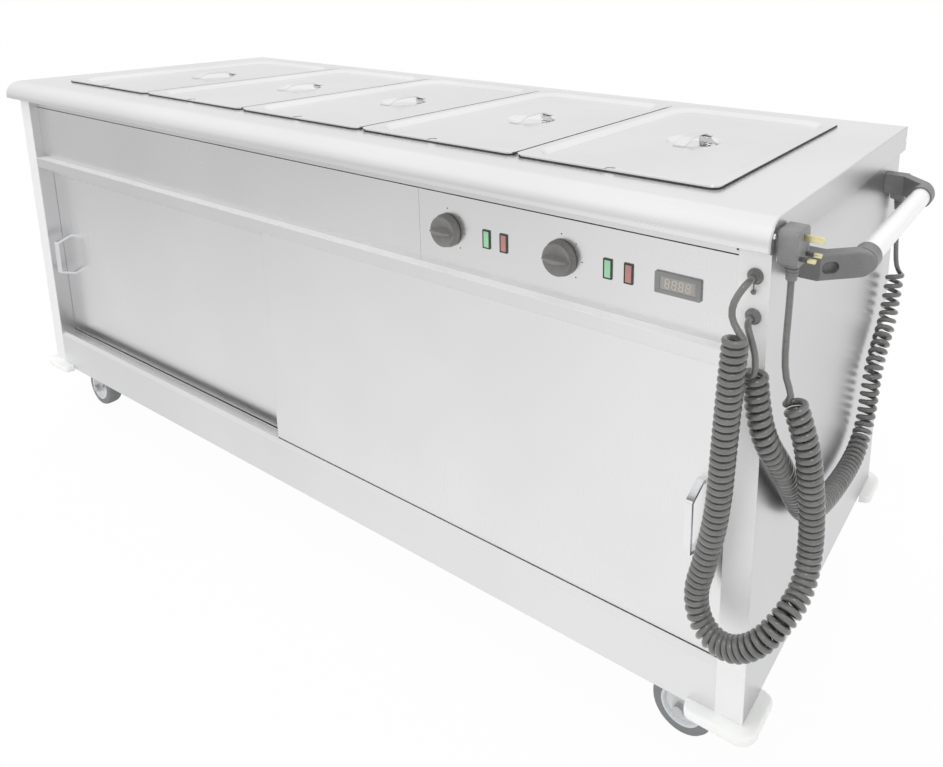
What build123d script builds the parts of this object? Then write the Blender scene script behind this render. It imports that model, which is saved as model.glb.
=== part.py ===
"""Mobile bain-marie servery: five covered wells over a hot cupboard, on swivel castors.

Millimetres, Z up, the floor at zero.  The cabinet is drawn about its own middle, and every
node is moved at the end so that the origin lies under the middle of the whole object.
Cutting shapes run 1 mm past the faces they open.
"""
import os
from math import cos, pi, radians, sin, sqrt

from build123d import *

# Cabinet: the box between the outer faces of its sheets, and the sheets themselves.
CAB_L = 1840.0
CAB_W = 640.0
CAB_Z = 150.0
TOP_Z = 850.0
SKIN = 1.5
LINER = 1.0
X_END = CAB_L / 2
X_IN = X_END - SKIN
Y_FACE = -CAB_W / 2
Y_BACK = CAB_W / 2
POST_W = 40.0
X_POST = X_END - POST_W
RECESS = 18.0
Y_FASCIA = Y_FACE + RECESS
UNDER = TOP_Z - SKIN
FLOOR_Z = CAB_Z + SKIN

# Worktop: rolled front edge, folded ends and rear.
TOP_OVER_END = 6.0
TOP_OVER_FRONT = 24.0
TOP_OVER_REAR = 15.0
NOSE_R = 30.0
NOSE_DROP = 6.0
NOSE_RETURN = 14.0
NOSE_RELIEF = 1.0
END_FLANGE = 42.0
REAR_FLANGE = 20.0
X_TOP = X_END + TOP_OVER_END

# Pans and lids of one standard size, hung side by side in a single aperture.
PANS = 5
PITCH = 330.0
PAN_X = 325.0
PAN_Y = 530.0
RIM_CORNER = 14.0
RIM_T = 1.0
RIM_HEM = 4.0
PAN_T = 0.8
PAN_DEPTH = 98.0
PAN_BODY_X = 301.0
PAN_BODY_Y = 506.0
PAN_DRAFT = 20.0
PAN_CORNER = 48.0
RIM_REST = 11.0
WELL_Y = 10.0
WELL_L = (PANS - 1) * PITCH + PAN_X - 2 * RIM_REST
WELL_W = PAN_Y - 2 * RIM_REST
WELL_DEEP = 150.0
WELL_Z = TOP_Z - WELL_DEEP
BAR_W = 22.0
BAR_WEB = 2.0
BAR_H = 18.0
LID_RIM = 16.0
LID_OVER = 2.0
LID_SLOPE = 8.0
LID_SINK = 7.0
LID_CORNER = 45.0
DISH_R = 45.0
DISH_DEPTH = 8.0
DISH_SLOPE = 7.0
STRAP_W = 20.0
STRAP_T = 2.0
STRAP_FOOT = 8.0
STRAP_CLEAR = 1.0
STRAP_TOP_HALF = 26.0
STRAP_RISE = 10.0
NOTCH_W = 14.0
NOTCH_DEPTH = 13.0

# Sliding doors in two tracks, one behind the other.
DOOR_T = 18.0
DOOR_SHEET = 1.2
DOOR_SETBACK = 8.5
TRACK_GAP = 1.5
TRACK_CLEAR = 2.0
DOOR_EDGE_GAP = 0.8
DOOR_OVERLAP = 45.0
DOOR_RIDE = 0.3
HEAD_DROP = 178.0
HEAD_Z = TOP_Z - HEAD_DROP
DOOR_HEAD_GAP = 10.0
DOOR_TOP_Z = HEAD_Z - DOOR_HEAD_GAP
Y_DOOR_R = Y_FACE + DOOR_SETBACK
Y_RAIL = Y_DOOR_R + DOOR_T + TRACK_GAP
Y_DOOR_L = Y_RAIL + SKIN + TRACK_CLEAR
Y_TRACK_LIP = Y_DOOR_L + DOOR_T + TRACK_GAP
Y_INSIDE = Y_TRACK_LIP + SKIN
HEAD_LIP = 22.0
HEAD_LIP_Z = HEAD_Z - HEAD_LIP
HEAD_RAIL = 43.0
HEAD_RAIL_Z = HEAD_Z - HEAD_RAIL
SILL_Z = 228.0
DECK_Z = 213.5
SILL_RAIL_Z = 224.0
PLINTH_Z = 141.0
PLINTH_SLOPE_Z = 220.0
PLINTH_FOOT = 18.0
PLINTH_BEND = 0.5
SILL_GAP = 1.0
Y_SILL = Y_DOOR_R - SILL_GAP

# Door pulls: a flat bar bent to a D, standing on end near each door's outer edge.
PULL_W = 10.0
PULL_T = 5.0
PULL_PROUD = 34.0
PULL_LENGTH = 102.0
PULL_SLOPE = 13.0
PULL_BEND = 4.0
PULL_Z = 431.0
PULL_IN = 38.0

# Fascia, control panel and what sits in it.
RAIL_DROP = 59.0
RAIL_Z = TOP_Z - RAIL_DROP
FASCIA_TOP = RAIL_Z - SKIN
FASCIA_SPLIT = 348.0
FASCIA_JOINT = 0.5
FASCIA_RETURN = 12.0
RAIL_DEPTH = 30.0
RAIL_FOOT = 16.0
SLOT_X = 872.0
SLOT_RISE = 12.0
SLOT_Z = RAIL_Z + SLOT_RISE
SLOT_W = 4.0
SLOT_H = 14.0
CONTROL_DROP = 58.0
CONTROL_Z = RAIL_Z - CONTROL_DROP
KNOB_X = (407.0, 616.0)
KNOB_R = 26.0
KNOB_CAP_R = 21.0
KNOB_SKIRT = 5.0
KNOB_CAP = 12.0
KNOB_DRAFT = 2.0
KNOB_GRIP_W = 11.0
KNOB_GRIP = 6.0
KNOB_GRIP_IN = 1.0
KNOB_GAP = 0.6
SHAFT_R = 3.0
SHAFT_FIT = 0.05
SHAFT_HOLE_R = 4.0
SHAFT_IN = 20.0
STAT_W = 44.0
STAT_H = 48.0
STAT_DEPTH = 36.0
LAMP_X = (483.0, 515.0, 691.0, 723.0)
LAMP_W = 16.0
LAMP_H = 27.0
LENS_W = 10.0
LENS_H = 20.0
BEZEL_PROUD = 3.0
BEZEL_LIP = 2.0
BEZEL_DEPTH = 12.0
LENS_SUNK = 0.6
LENS_T = 1.6
DISPLAY_X = 795.0
DISPLAY_W = 65.0
DISPLAY_H = 29.0
WINDOW_W = 50.0
WINDOW_H = 18.0

# Cupboard inside the doors.
LINER_X = 890.0
LINER_Y = 299.0
CEILING_GAP = 4.0
CEILING_Z = HEAD_Z - CEILING_GAP
SHELF_Z = 440.0
SHELF_T = 1.2
SHELF_EDGE = 20.0
SHELF_GAP = 2.0
LEDGE = 20.0
ELEMENT_R = 4.0
ELEMENT_BEND = 40.0
WELL_ELEMENT_L = 760.0
WELL_ELEMENT_W = 150.0
ELEMENT_IN_X = 60.0
ELEMENT_IN_Y = 25.0
COVER_HALF_L = 700.0
COVER_Y = 200.0
COVER_HALF_W = 70.0
COVER_H = 32.0
COVER_SLOTS = 14
COVER_SLOT_W = 10.0

# Back panel: stepped in at its head, below the worktop's rear fold.
BACK_LOW = 152.0
BACK_DROP = 24.0
BACK_TOP = TOP_Z - BACK_DROP
BACK_STEP = 18.0

# Push handle on the right-hand end: thick arms with a crease and a round end, and a tube.
ARM_Y = 228.0
ARM_T = 28.0
ARM_H = 33.0
ARM_OUT = 33.0
ARM_RISE_X = 53.0
ARM_RISE_Y = 54.0
ARM_DEPTH = 30.0
ARM_PAST = 4.0
ARM_EDGE = 3.0
ARM_DROP = 79.0
ARM_Z = TOP_Z - ARM_DROP
GRIP_X = 989.0
GRIP_R = 14.5
GRIP_FIT = 0.1
GRIP_END_Y = 182.0
BOSS_PROUD = 0.5
BOSS_OUT_Y = 184.0
BOSS_IN_Y = 158.0
ARM_SLOT_L = 23.0
ARM_SLOT_W = 15.0
ARM_SLOT_DEPTH = 7.0
ARM_SLOT_AT = 14.0

# Corner bumpers under the four corners.
BUMP_OUT = 20.0
BUMP_LEG = 100.0
BUMP_SIDE = 88.0
BUMP_H = 15.0
BUMP_R = 24.0
BUMP_TIP_R = 0.6 * BUMP_OUT
BUMP_WEB = 36.0
BUMP_CLEAR = 2.0

# Chassis channels and castors.
CASTOR_IN = 82.0
CASTOR_X = X_END - CASTOR_IN
CASTOR_Y = 238.0
CHANNEL_W = 84.0
CHANNEL_Z = 138.0
CHANNEL_T = 3.0
CHANNEL_HALF = 298.0
PLATE_X = 84.0
PLATE_Y = 70.0
PLATE_T = 4.0
BOLT_R = 4.0
BOLT_HEAD_R = 6.5
BOLT_HEAD = 4.0
BOLT_IN_X = 31.0
BOLT_IN_Y = 25.0
RACE_R = 26.0
RACE_T = 5.0
KINGPIN_R = 6.0
KINGPIN_CLEAR = 2.0
RUN_FIT = 0.05
SWIVEL_GAP = 0.4
HEAD_R = 27.0
HEAD_T = 11.0
WHEEL_R = 50.0
WHEEL_W = 32.0
TYRE_T = 14.0
TYRE_EDGE = 5.0
TRAIL = 37.0
LEG_T = 3.0
LEG_GAP = 2.5
LEG_EYE_R = 12.0
LEG_TOE_X = 0.6 * LEG_EYE_R
LEG_TOE_Z = 0.8 * LEG_EYE_R
LEG_STEP = 4.0
BRIDGE_Z = 113.0
AXLE_R = 5.0
AXLE_NUT_R = 8.5
AXLE_NUT = 6.0
HUB_BOSS_R = 12.0
HUB_BOSS_GAP = 0.4
HUB_DISH = 5.0

# Supply cords: coiled leads from glands in the right-hand post to two plugs on the end.
WIRE_R = 4.2
CURL_R = 13.2
GLAND_X = 902.0
GLAND_Z = (776.0, 726.0)
GLAND_R = 10.0
GLAND_T = 3.0
GLAND_NOSE_R = 7.0
GLAND_NOSE = 6.0
GLAND_SHANK_R = 6.5
GLAND_SHANK = 10.0
GLAND_NUT_R = 9.0
GLAND_NUT = 5.0
CURLS = (56, 42)
TURN_STEPS = 4
PLUG_T = 24.0
PLUG_W = 44.0
PLUG_H = 44.0
PLUG_CHAMFER = 12.0
PLUG_CORNER = 8.0
PLUG_NECK_R = 7.0
PLUG_NECK = 20.0
NECK_ROOT = 5.0
PLUG_Y = (-308.0, 280.0)
PLUG_Z = (818.0, 753.0)
PIN_T = 4.0
PIN_W = 6.4
EARTH_H = 8.0
PIN_LONG = 22.7
PIN_SHORT = 17.7
PIN_SPREAD = 22.2
PIN_DROP = 11.1
CLIP_T = 2.0
CLIP_Y = 30.0
CLIP_Z = 36.0


def span(x0, x1, y0, y1, z0, z1):
    """Block between two limits on each axis."""
    size = Box(x1 - x0, y1 - y0, z1 - z0)
    return Pos((x0 + x1) / 2, (y0 + y1) / 2, (z0 + z1) / 2) * size


def upright(points, x0, x1):
    """Sheet section drawn as (y, z) points, run from x0 to x1."""
    section = make_face(Polyline(*points, close=True))
    return extrude(Plane.YZ.offset(x0) * section, amount=x1 - x0)


def rod_y(radius, x, z, y0, y1):
    """Round bar lying along Y."""
    return Pos(x, (y0 + y1) / 2, z) * Rot(90, 0, 0) * Cylinder(radius, y1 - y0)


def rod_z(radius, x, y, z0, z1):
    """Round bar standing up."""
    return Pos(x, y, (z0 + z1) / 2) * Cylinder(radius, z1 - z0)


def flip(shape):
    """The same piece at the other end of the cabinet."""
    return mirror(shape, about=Plane.YZ)


def flip_y(shape):
    """The same piece on the other side of the cabinet."""
    return mirror(shape, about=Plane.XZ)


nodes = {}

# Worktop: one sheet with a half-round front edge, ends closed by plates to the same outline.
top_front = Y_FACE - TOP_OVER_FRONT
top_rear = Y_BACK + TOP_OVER_REAR
nose_low = TOP_Z - NOSE_R - NOSE_DROP


def nose(inset):
    """Quarter-round of the front edge, drawn a given depth inside its outer face."""
    r = NOSE_R - inset
    y = top_front + NOSE_R
    z = TOP_Z - NOSE_R
    return ThreePointArc((y, z + r), (y - r * sin(pi / 4), z + r * cos(pi / 4)), (y - r, z))


sheet_run = Polyline(
    (top_front, TOP_Z - NOSE_R),
    (top_front, nose_low),
    (top_front + NOSE_RETURN, nose_low),
    (top_front + NOSE_RETURN, nose_low + SKIN),
    (top_front + SKIN, nose_low + SKIN),
    (top_front + SKIN, TOP_Z - NOSE_R),
)
sheet_back = Polyline(
    (top_front + NOSE_R, UNDER),
    (top_rear - SKIN, UNDER),
    (top_rear - SKIN, TOP_Z - REAR_FLANGE),
    (top_rear, TOP_Z - REAR_FLANGE),
    (top_rear, TOP_Z),
    (top_front + NOSE_R, TOP_Z),
)
sheet_section = make_face(Curve() + [nose(0), sheet_run, nose(SKIN), sheet_back])
end_edge = Polyline(
    (top_front, TOP_Z - NOSE_R),
    (top_front, nose_low),
    (top_front + NOSE_RETURN, TOP_Z - END_FLANGE),
    (top_rear, TOP_Z - END_FLANGE),
    (top_rear, TOP_Z),
    (top_front + NOSE_R, TOP_Z),
)
end_section = make_face(Curve() + [nose(0), end_edge])
worktop = extrude(Plane.YZ.offset(-X_TOP) * sheet_section, amount=2 * X_TOP)
worktop += extrude(Plane.YZ.offset(X_TOP - SKIN) * end_section, amount=SKIN)
worktop += extrude(Plane.YZ.offset(-X_TOP) * end_section, amount=SKIN)
well_plan = Pos(0, WELL_Y) * Rectangle(WELL_L, WELL_W)
nodes["worktop"] = worktop - extrude(Pos(0, 0, UNDER - 1) * well_plan, amount=SKIN + 2)

# Well: an open tank hung under the aperture, with bars across it between the pans.
well_half_y = WELL_W / 2
tank = span(-WELL_L / 2 - LINER, WELL_L / 2 + LINER, WELL_Y - well_half_y - LINER,
            WELL_Y + well_half_y + LINER, WELL_Z, UNDER)
tank -= span(-WELL_L / 2, WELL_L / 2, WELL_Y - well_half_y, WELL_Y + well_half_y,
             WELL_Z + LINER, TOP_Z)
nodes["well_tank"] = tank
bars = []
for i in range(PANS - 1):
    x = (i - (PANS - 2) / 2) * PITCH
    bar = span(x - BAR_W / 2, x + BAR_W / 2, WELL_Y - well_half_y, WELL_Y + well_half_y, UNDER, TOP_Z)
    bar += span(x - BAR_WEB / 2, x + BAR_WEB / 2, WELL_Y - well_half_y, WELL_Y + well_half_y,
                UNDER - BAR_H, UNDER)
    bars.append(bar)
nodes["pan_support_bars"] = bars


def element(half_l, y, half_w, z):
    """Sheathed heating rod bent to a U, lying flat."""
    path = FilletPolyline(
        (-half_l, y - half_w, z),
        (half_l, y - half_w, z),
        (half_l, y + half_w, z),
        (-half_l, y + half_w, z),
        radius=ELEMENT_BEND,
    )
    return sweep(Plane(origin=(-half_l, y - half_w, z), z_dir=(1, 0, 0)) * Circle(ELEMENT_R), path=path)


well_element = element(WELL_ELEMENT_L, WELL_Y, WELL_ELEMENT_W, WELL_Z + LINER + ELEMENT_R)

# Pans: tapered trays whose hemmed rims rest on the worktop and the bars.
rim_plan = RectangleRounded(PAN_X - 2 * LID_OVER, PAN_Y - 2 * LID_OVER, RIM_CORNER)


def tray(x, y, corner, draft, z_low, z_high):
    """Tapered block with rounded corners, narrower at the bottom."""
    low = Pos(0, 0, z_low) * RectangleRounded(x - draft, y - draft, corner - draft / 4)
    high = Pos(0, 0, z_high) * RectangleRounded(x, y, corner)
    return loft([low, high])


pan = tray(PAN_BODY_X, PAN_BODY_Y, PAN_CORNER, PAN_DRAFT, TOP_Z - PAN_DEPTH, TOP_Z)
pan += extrude(Pos(0, 0, TOP_Z) * rim_plan, amount=RIM_HEM)
pan -= tray(PAN_BODY_X - 2 * PAN_T, PAN_BODY_Y - 2 * PAN_T, PAN_CORNER - PAN_T, PAN_DRAFT,
            TOP_Z - PAN_DEPTH + PAN_T, TOP_Z + RIM_HEM)

# Lids: flat rim, sunk field, round dish with a strap bridging it, ladle notch at the front.
lid_z = TOP_Z + RIM_HEM
rim_top = lid_z + RIM_T
field_z = rim_top - LID_SINK
field_x = PAN_X - 2 * LID_RIM
field_y = PAN_Y - 2 * LID_RIM


def field(grow, z_low):
    """Block that sinks from the rim to the field, drawn a given depth outside the upper face."""
    x = field_x + 2 * grow
    y = field_y + 2 * grow
    high = Pos(0, 0, rim_top) * RectangleRounded(x, y, LID_CORNER + grow)
    low = Pos(0, 0, z_low) * RectangleRounded(x - 2 * LID_SLOPE, y - 2 * LID_SLOPE,
                                              LID_CORNER - LID_SLOPE + grow)
    return loft([low, high])


lid = extrude(Pos(0, 0, lid_z) * RectangleRounded(PAN_X, PAN_Y, RIM_CORNER), amount=RIM_T)
lid += field(RIM_T, field_z - RIM_T)
lid -= field(0, field_z)
dish_z = field_z - DISH_DEPTH
lid += Pos(0, 0, (dish_z - RIM_T + field_z) / 2) * Cone(
    DISH_R - DISH_SLOPE + RIM_T, DISH_R + RIM_T, DISH_DEPTH + RIM_T)
lid -= Pos(0, 0, (dish_z + field_z) / 2) * Cone(DISH_R - DISH_SLOPE, DISH_R, DISH_DEPTH)
notch_y = -PAN_Y / 2
notch_mid = notch_y + NOTCH_DEPTH - NOTCH_W / 2
lid -= span(-NOTCH_W / 2, NOTCH_W / 2, notch_y - 1, notch_mid, lid_z - 1, rim_top + 1)
lid -= rod_z(NOTCH_W / 2, 0, notch_mid, lid_z - 1, rim_top + 1)
strap_top = field_z + STRAP_RISE
strap_knee = DISH_R + STRAP_CLEAR
strap_half = strap_knee + STRAP_FOOT
strap = upright(
    [
        (-strap_half, field_z),
        (-strap_knee, field_z),
        (-STRAP_TOP_HALF, strap_top - STRAP_T),
        (STRAP_TOP_HALF, strap_top - STRAP_T),
        (strap_knee, field_z),
        (strap_half, field_z),
        (strap_half, field_z + STRAP_T),
        (strap_knee, field_z + STRAP_T),
        (STRAP_TOP_HALF, strap_top),
        (-STRAP_TOP_HALF, strap_top),
        (-strap_knee, field_z + STRAP_T),
        (-strap_half, field_z + STRAP_T),
    ],
    -STRAP_W / 2,
    STRAP_W / 2,
)
for i in range(PANS):
    x = (i - (PANS - 1) / 2) * PITCH
    nodes["pan_%d" % (i + 1)] = Pos(x, WELL_Y, 0) * pan
    nodes["lid_%d" % (i + 1)] = [Pos(x, WELL_Y, 0) * lid, Pos(x, WELL_Y, 0) * strap]

# End panels: side sheet folded to a post face at the front, a jamb behind it and a rear return.
end_panel = span(X_IN, X_END, Y_FACE, Y_BACK, CAB_Z, UNDER)
end_panel += span(X_POST, X_IN, Y_FACE, Y_FACE + SKIN, CAB_Z, UNDER)
end_panel += span(X_POST, X_POST + SKIN, Y_FACE, Y_FASCIA, FLOOR_Z, UNDER)
end_panel += span(X_POST, X_POST + SKIN, Y_FASCIA, Y_INSIDE, FLOOR_Z, HEAD_Z)
end_panel += span(X_POST, X_IN, Y_BACK - SKIN, Y_BACK, CAB_Z, UNDER)
end_panel -= span(X_POST, X_END, Y_FACE, top_front + NOSE_R, UNDER - NOSE_RELIEF, UNDER)
nodes["end_panel_left"] = flip(end_panel)
for z in GLAND_Z:
    end_panel -= rod_y(GLAND_SHANK_R, GLAND_X, z, Y_FACE - 1, Y_FACE + SKIN + 1)
nodes["end_panel_right"] = end_panel

# Back panel between the rear returns, and the flat bottom of the cabinet.
back = upright(
    [
        (Y_BACK, BACK_LOW),
        (Y_BACK, BACK_TOP),
        (Y_BACK - BACK_STEP + SKIN, BACK_TOP),
        (Y_BACK - BACK_STEP + SKIN, UNDER),
        (Y_BACK - BACK_STEP, UNDER),
        (Y_BACK - BACK_STEP, BACK_TOP - SKIN),
        (Y_BACK - SKIN, BACK_TOP - SKIN),
        (Y_BACK - SKIN, BACK_LOW),
    ],
    -X_POST,
    X_POST,
)
nodes["back_panel"] = back
nodes["bottom_plate"] = span(-X_IN, X_IN, Y_FACE + SKIN, Y_BACK - SKIN, CAB_Z, FLOOR_Z)

# Cupboard: raised deck, liners with shelf ledges, ceiling, and insulation above it.
deck = span(-LINER_X - LINER, LINER_X + LINER, Y_INSIDE, LINER_Y + LINER, FLOOR_Z, DECK_Z)
deck -= span(-LINER_X, LINER_X, Y_INSIDE + LINER, LINER_Y, FLOOR_Z - 1, DECK_Z - SKIN)
nodes["cupboard_deck"] = deck
ceiling_low = CEILING_Z - LINER
liner_end = span(LINER_X, LINER_X + LINER, Y_INSIDE, LINER_Y, DECK_Z, ceiling_low)
liner_end += span(LINER_X - LEDGE, LINER_X, Y_INSIDE + LEDGE, LINER_Y - LEDGE, SHELF_Z - SKIN, SHELF_Z)
nodes["cupboard_liners"] = [
    liner_end,
    flip(liner_end),
    span(-LINER_X - LINER, LINER_X + LINER, LINER_Y, LINER_Y + LINER, DECK_Z, ceiling_low),
    span(-X_IN, X_IN, Y_INSIDE, Y_BACK - SKIN, ceiling_low, CEILING_Z),
]
nodes["insulation"] = span(-WELL_L / 2, WELL_L / 2, WELL_Y - well_half_y, WELL_Y + well_half_y,
                           CEILING_Z, WELL_Z)
shelf_x = LINER_X - SHELF_GAP
shelf_front = Y_INSIDE + LEDGE
shelf_back = LINER_Y - SHELF_GAP
shelf = span(-shelf_x, shelf_x, shelf_front, shelf_back, SHELF_Z, SHELF_Z + SHELF_T)
fold_x = LINER_X - LEDGE - SHELF_GAP
shelf += span(-fold_x, fold_x, shelf_front, shelf_front + SHELF_T, SHELF_Z - SHELF_EDGE, SHELF_Z)
shelf += span(-fold_x, fold_x, shelf_back - SHELF_T, shelf_back, SHELF_Z - SHELF_EDGE, SHELF_Z)
nodes["shelf"] = shelf
cupboard_element = element(COVER_HALF_L - ELEMENT_IN_X, COVER_Y, COVER_HALF_W - ELEMENT_IN_Y,
                           DECK_Z + ELEMENT_R)
nodes["heating_elements"] = [well_element, cupboard_element]
cover = span(-COVER_HALF_L, COVER_HALF_L, COVER_Y - COVER_HALF_W, COVER_Y + COVER_HALF_W,
             DECK_Z, DECK_Z + COVER_H)
cover -= span(-COVER_HALF_L + LINER, COVER_HALF_L - LINER, COVER_Y - COVER_HALF_W + LINER,
              COVER_Y + COVER_HALF_W - LINER, DECK_Z - 1, DECK_Z + COVER_H - LINER)
slot_pitch = 2 * COVER_HALF_L / COVER_SLOTS
for i in range(COVER_SLOTS):
    x = (i - (COVER_SLOTS - 1) / 2) * slot_pitch
    cover -= span(x - COVER_SLOT_W / 2, x + COVER_SLOT_W / 2, COVER_Y - COVER_HALF_W / 2,
                  COVER_Y + COVER_HALF_W / 2, DECK_Z, DECK_Z + COVER_H + 1)
nodes["element_cover"] = cover

# Front frame: rail under the worktop, head track, plinth and sill track.
rail = upright(
    [
        (Y_FASCIA, RAIL_Z),
        (Y_FASCIA, UNDER),
        (Y_FASCIA + RAIL_DEPTH, UNDER),
        (Y_FASCIA + RAIL_DEPTH, UNDER - SKIN),
        (Y_FASCIA + SKIN, UNDER - SKIN),
        (Y_FASCIA + SKIN, RAIL_Z + SKIN),
        (Y_FASCIA + RAIL_FOOT, RAIL_Z + SKIN),
        (Y_FASCIA + RAIL_FOOT, RAIL_Z),
    ],
    -X_IN,
    X_IN,
)
rail -= span(SLOT_X - SLOT_W / 2, SLOT_X + SLOT_W / 2, Y_FASCIA - 1, Y_FASCIA + SKIN + 1,
             SLOT_Z - SLOT_H / 2, SLOT_Z + SLOT_H / 2)
nodes["top_rail"] = rail
head = span(-X_POST, X_POST, Y_FACE, Y_INSIDE, HEAD_Z - SKIN, HEAD_Z)
head += span(-X_POST, X_POST, Y_FACE, Y_FACE + SKIN, HEAD_LIP_Z, HEAD_Z)
head += span(-X_POST, X_POST, Y_RAIL, Y_RAIL + SKIN, HEAD_RAIL_Z, HEAD_Z)
head += span(-X_POST, X_POST, Y_TRACK_LIP, Y_INSIDE, HEAD_RAIL_Z, HEAD_Z)
nodes["head_track"] = head
sill = span(-X_POST, X_POST, Y_SILL, Y_INSIDE, DECK_Z - SKIN, DECK_Z)
sill += span(-X_POST, X_POST, Y_SILL, Y_SILL + SKIN, FLOOR_Z, DECK_Z)
sill += span(-X_POST, X_POST, Y_RAIL, Y_RAIL + SKIN, DECK_Z, SILL_RAIL_Z)
sill += span(-X_POST, X_POST, Y_TRACK_LIP, Y_INSIDE, DECK_Z, SILL_Z)
nodes["sill_track"] = sill
plinth = upright(
    [
        (Y_FACE + PLINTH_FOOT, PLINTH_Z),
        (Y_FACE, PLINTH_Z),
        (Y_FACE, PLINTH_SLOPE_Z),
        (Y_SILL - SKIN, SILL_Z),
        (Y_SILL, SILL_Z),
        (Y_SILL, SILL_Z - SKIN),
        (Y_FACE + SKIN, PLINTH_SLOPE_Z - PLINTH_BEND),
        (Y_FACE + SKIN, PLINTH_Z + SKIN),
        (Y_FACE + PLINTH_FOOT, PLINTH_Z + SKIN),
    ],
    -X_POST,
    X_POST,
)
nodes["plinth"] = plinth

# Doors: folded trays open at the back, the left one in the rear track.
door_x = X_POST - DOOR_EDGE_GAP
door_low = DECK_Z + DOOR_RIDE


def door(x0, x1, y):
    """Tray of sheet with its face to the front."""
    body = span(x0, x1, y, y + DOOR_T, door_low, DOOR_TOP_Z)
    hollow = span(x0 + DOOR_SHEET, x1 - DOOR_SHEET, y + DOOR_SHEET, y + DOOR_T + 1,
                  door_low + DOOR_SHEET, DOOR_TOP_Z - DOOR_SHEET)
    return body - hollow


def pull(x, y):
    """Bar bent to a D on the face of a door, its two legs sloping in to the grip."""
    half = PULL_LENGTH / 2
    leg = sqrt(PULL_PROUD ** 2 + PULL_SLOPE ** 2)
    grip_y = y - PULL_PROUD
    foot = half - PULL_T * leg / PULL_PROUD
    inner = PULL_T * PULL_SLOPE / leg + PULL_PROUD - PULL_T
    knee = half - PULL_T * PULL_PROUD / leg - PULL_SLOPE * inner / PULL_PROUD
    bar = upright(
        [
            (y, PULL_Z - half),
            (grip_y, PULL_Z - half + PULL_SLOPE),
            (grip_y, PULL_Z + half - PULL_SLOPE),
            (y, PULL_Z + half),
            (y, PULL_Z + foot),
            (grip_y + PULL_T, PULL_Z + knee),
            (grip_y + PULL_T, PULL_Z - knee),
            (y, PULL_Z - foot),
        ],
        x - PULL_W / 2,
        x + PULL_W / 2,
    )
    return fillet(bar.edges().filter_by(Axis.X).group_by(Axis.Y)[0], PULL_BEND)


nodes["door_right"] = door(-DOOR_OVERLAP, door_x, Y_DOOR_R)
nodes["door_left"] = door(-door_x, DOOR_OVERLAP, Y_DOOR_L)
nodes["door_pull_right"] = pull(door_x - PULL_IN, Y_DOOR_R)
nodes["door_pull_left"] = pull(PULL_IN - door_x, Y_DOOR_L)

# Fascia: a blank panel and, right of it, the control panel with its cut-outs.
fascia_points = [
    (Y_FASCIA, HEAD_Z),
    (Y_FASCIA, FASCIA_TOP),
    (Y_FASCIA + FASCIA_RETURN, FASCIA_TOP),
    (Y_FASCIA + FASCIA_RETURN, FASCIA_TOP - SKIN),
    (Y_FASCIA + SKIN, FASCIA_TOP - SKIN),
    (Y_FASCIA + SKIN, HEAD_Z + SKIN),
    (Y_FASCIA + FASCIA_RETURN, HEAD_Z + SKIN),
    (Y_FASCIA + FASCIA_RETURN, HEAD_Z),
]
nodes["fascia_panel"] = upright(fascia_points, -X_IN, FASCIA_SPLIT - FASCIA_JOINT / 2)
control = upright(fascia_points, FASCIA_SPLIT + FASCIA_JOINT / 2, X_IN)


def bezel(x, w, h, open_w, open_h):
    """Moulded frame in a cut-out: lip on the panel, body behind it, pocket for a lens."""
    lip = span(x - w / 2, x + w / 2, Y_FASCIA - BEZEL_PROUD, Y_FASCIA, CONTROL_Z - h / 2, CONTROL_Z + h / 2)
    lip = fillet(lip.edges().filter_by(Axis.Y), BEZEL_LIP)
    body = span(x - w / 2 + BEZEL_LIP, x + w / 2 - BEZEL_LIP, Y_FASCIA, Y_FASCIA + BEZEL_DEPTH,
                CONTROL_Z - h / 2 + BEZEL_LIP, CONTROL_Z + h / 2 - BEZEL_LIP)
    pocket = span(x - open_w / 2, x + open_w / 2, Y_FASCIA - BEZEL_PROUD - 1,
                  Y_FASCIA - BEZEL_PROUD + LENS_SUNK + LENS_T,
                  CONTROL_Z - open_h / 2, CONTROL_Z + open_h / 2)
    return lip + body - pocket


def lens(x, w, h):
    """Window lying in a bezel's pocket."""
    y = Y_FASCIA - BEZEL_PROUD + LENS_SUNK
    return span(x - w / 2, x + w / 2, y, y + LENS_T, CONTROL_Z - h / 2, CONTROL_Z + h / 2)


cut_outs = [(x, LAMP_W, LAMP_H) for x in LAMP_X] + [(DISPLAY_X, DISPLAY_W, DISPLAY_H)]
for x, w, h in cut_outs:
    control -= span(x - w / 2 + BEZEL_LIP, x + w / 2 - BEZEL_LIP, Y_FASCIA - 1, Y_FASCIA + SKIN + 1,
                    CONTROL_Z - h / 2 + BEZEL_LIP, CONTROL_Z + h / 2 - BEZEL_LIP)
for x in KNOB_X:
    control -= rod_y(SHAFT_HOLE_R, x, CONTROL_Z, Y_FASCIA - 1, Y_FASCIA + SKIN + 1)
nodes["control_panel"] = control
nodes["lamp_bezels"] = [bezel(x, LAMP_W, LAMP_H, LENS_W, LENS_H) for x in LAMP_X]
nodes["lamp_lenses_green"] = [lens(x, LENS_W, LENS_H) for x in LAMP_X[0::2]]
nodes["lamp_lenses_red"] = [lens(x, LENS_W, LENS_H) for x in LAMP_X[1::2]]
nodes["display_bezel"] = bezel(DISPLAY_X, DISPLAY_W, DISPLAY_H, WINDOW_W, WINDOW_H)
nodes["display_window"] = lens(DISPLAY_X, WINDOW_W, WINDOW_H)

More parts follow.
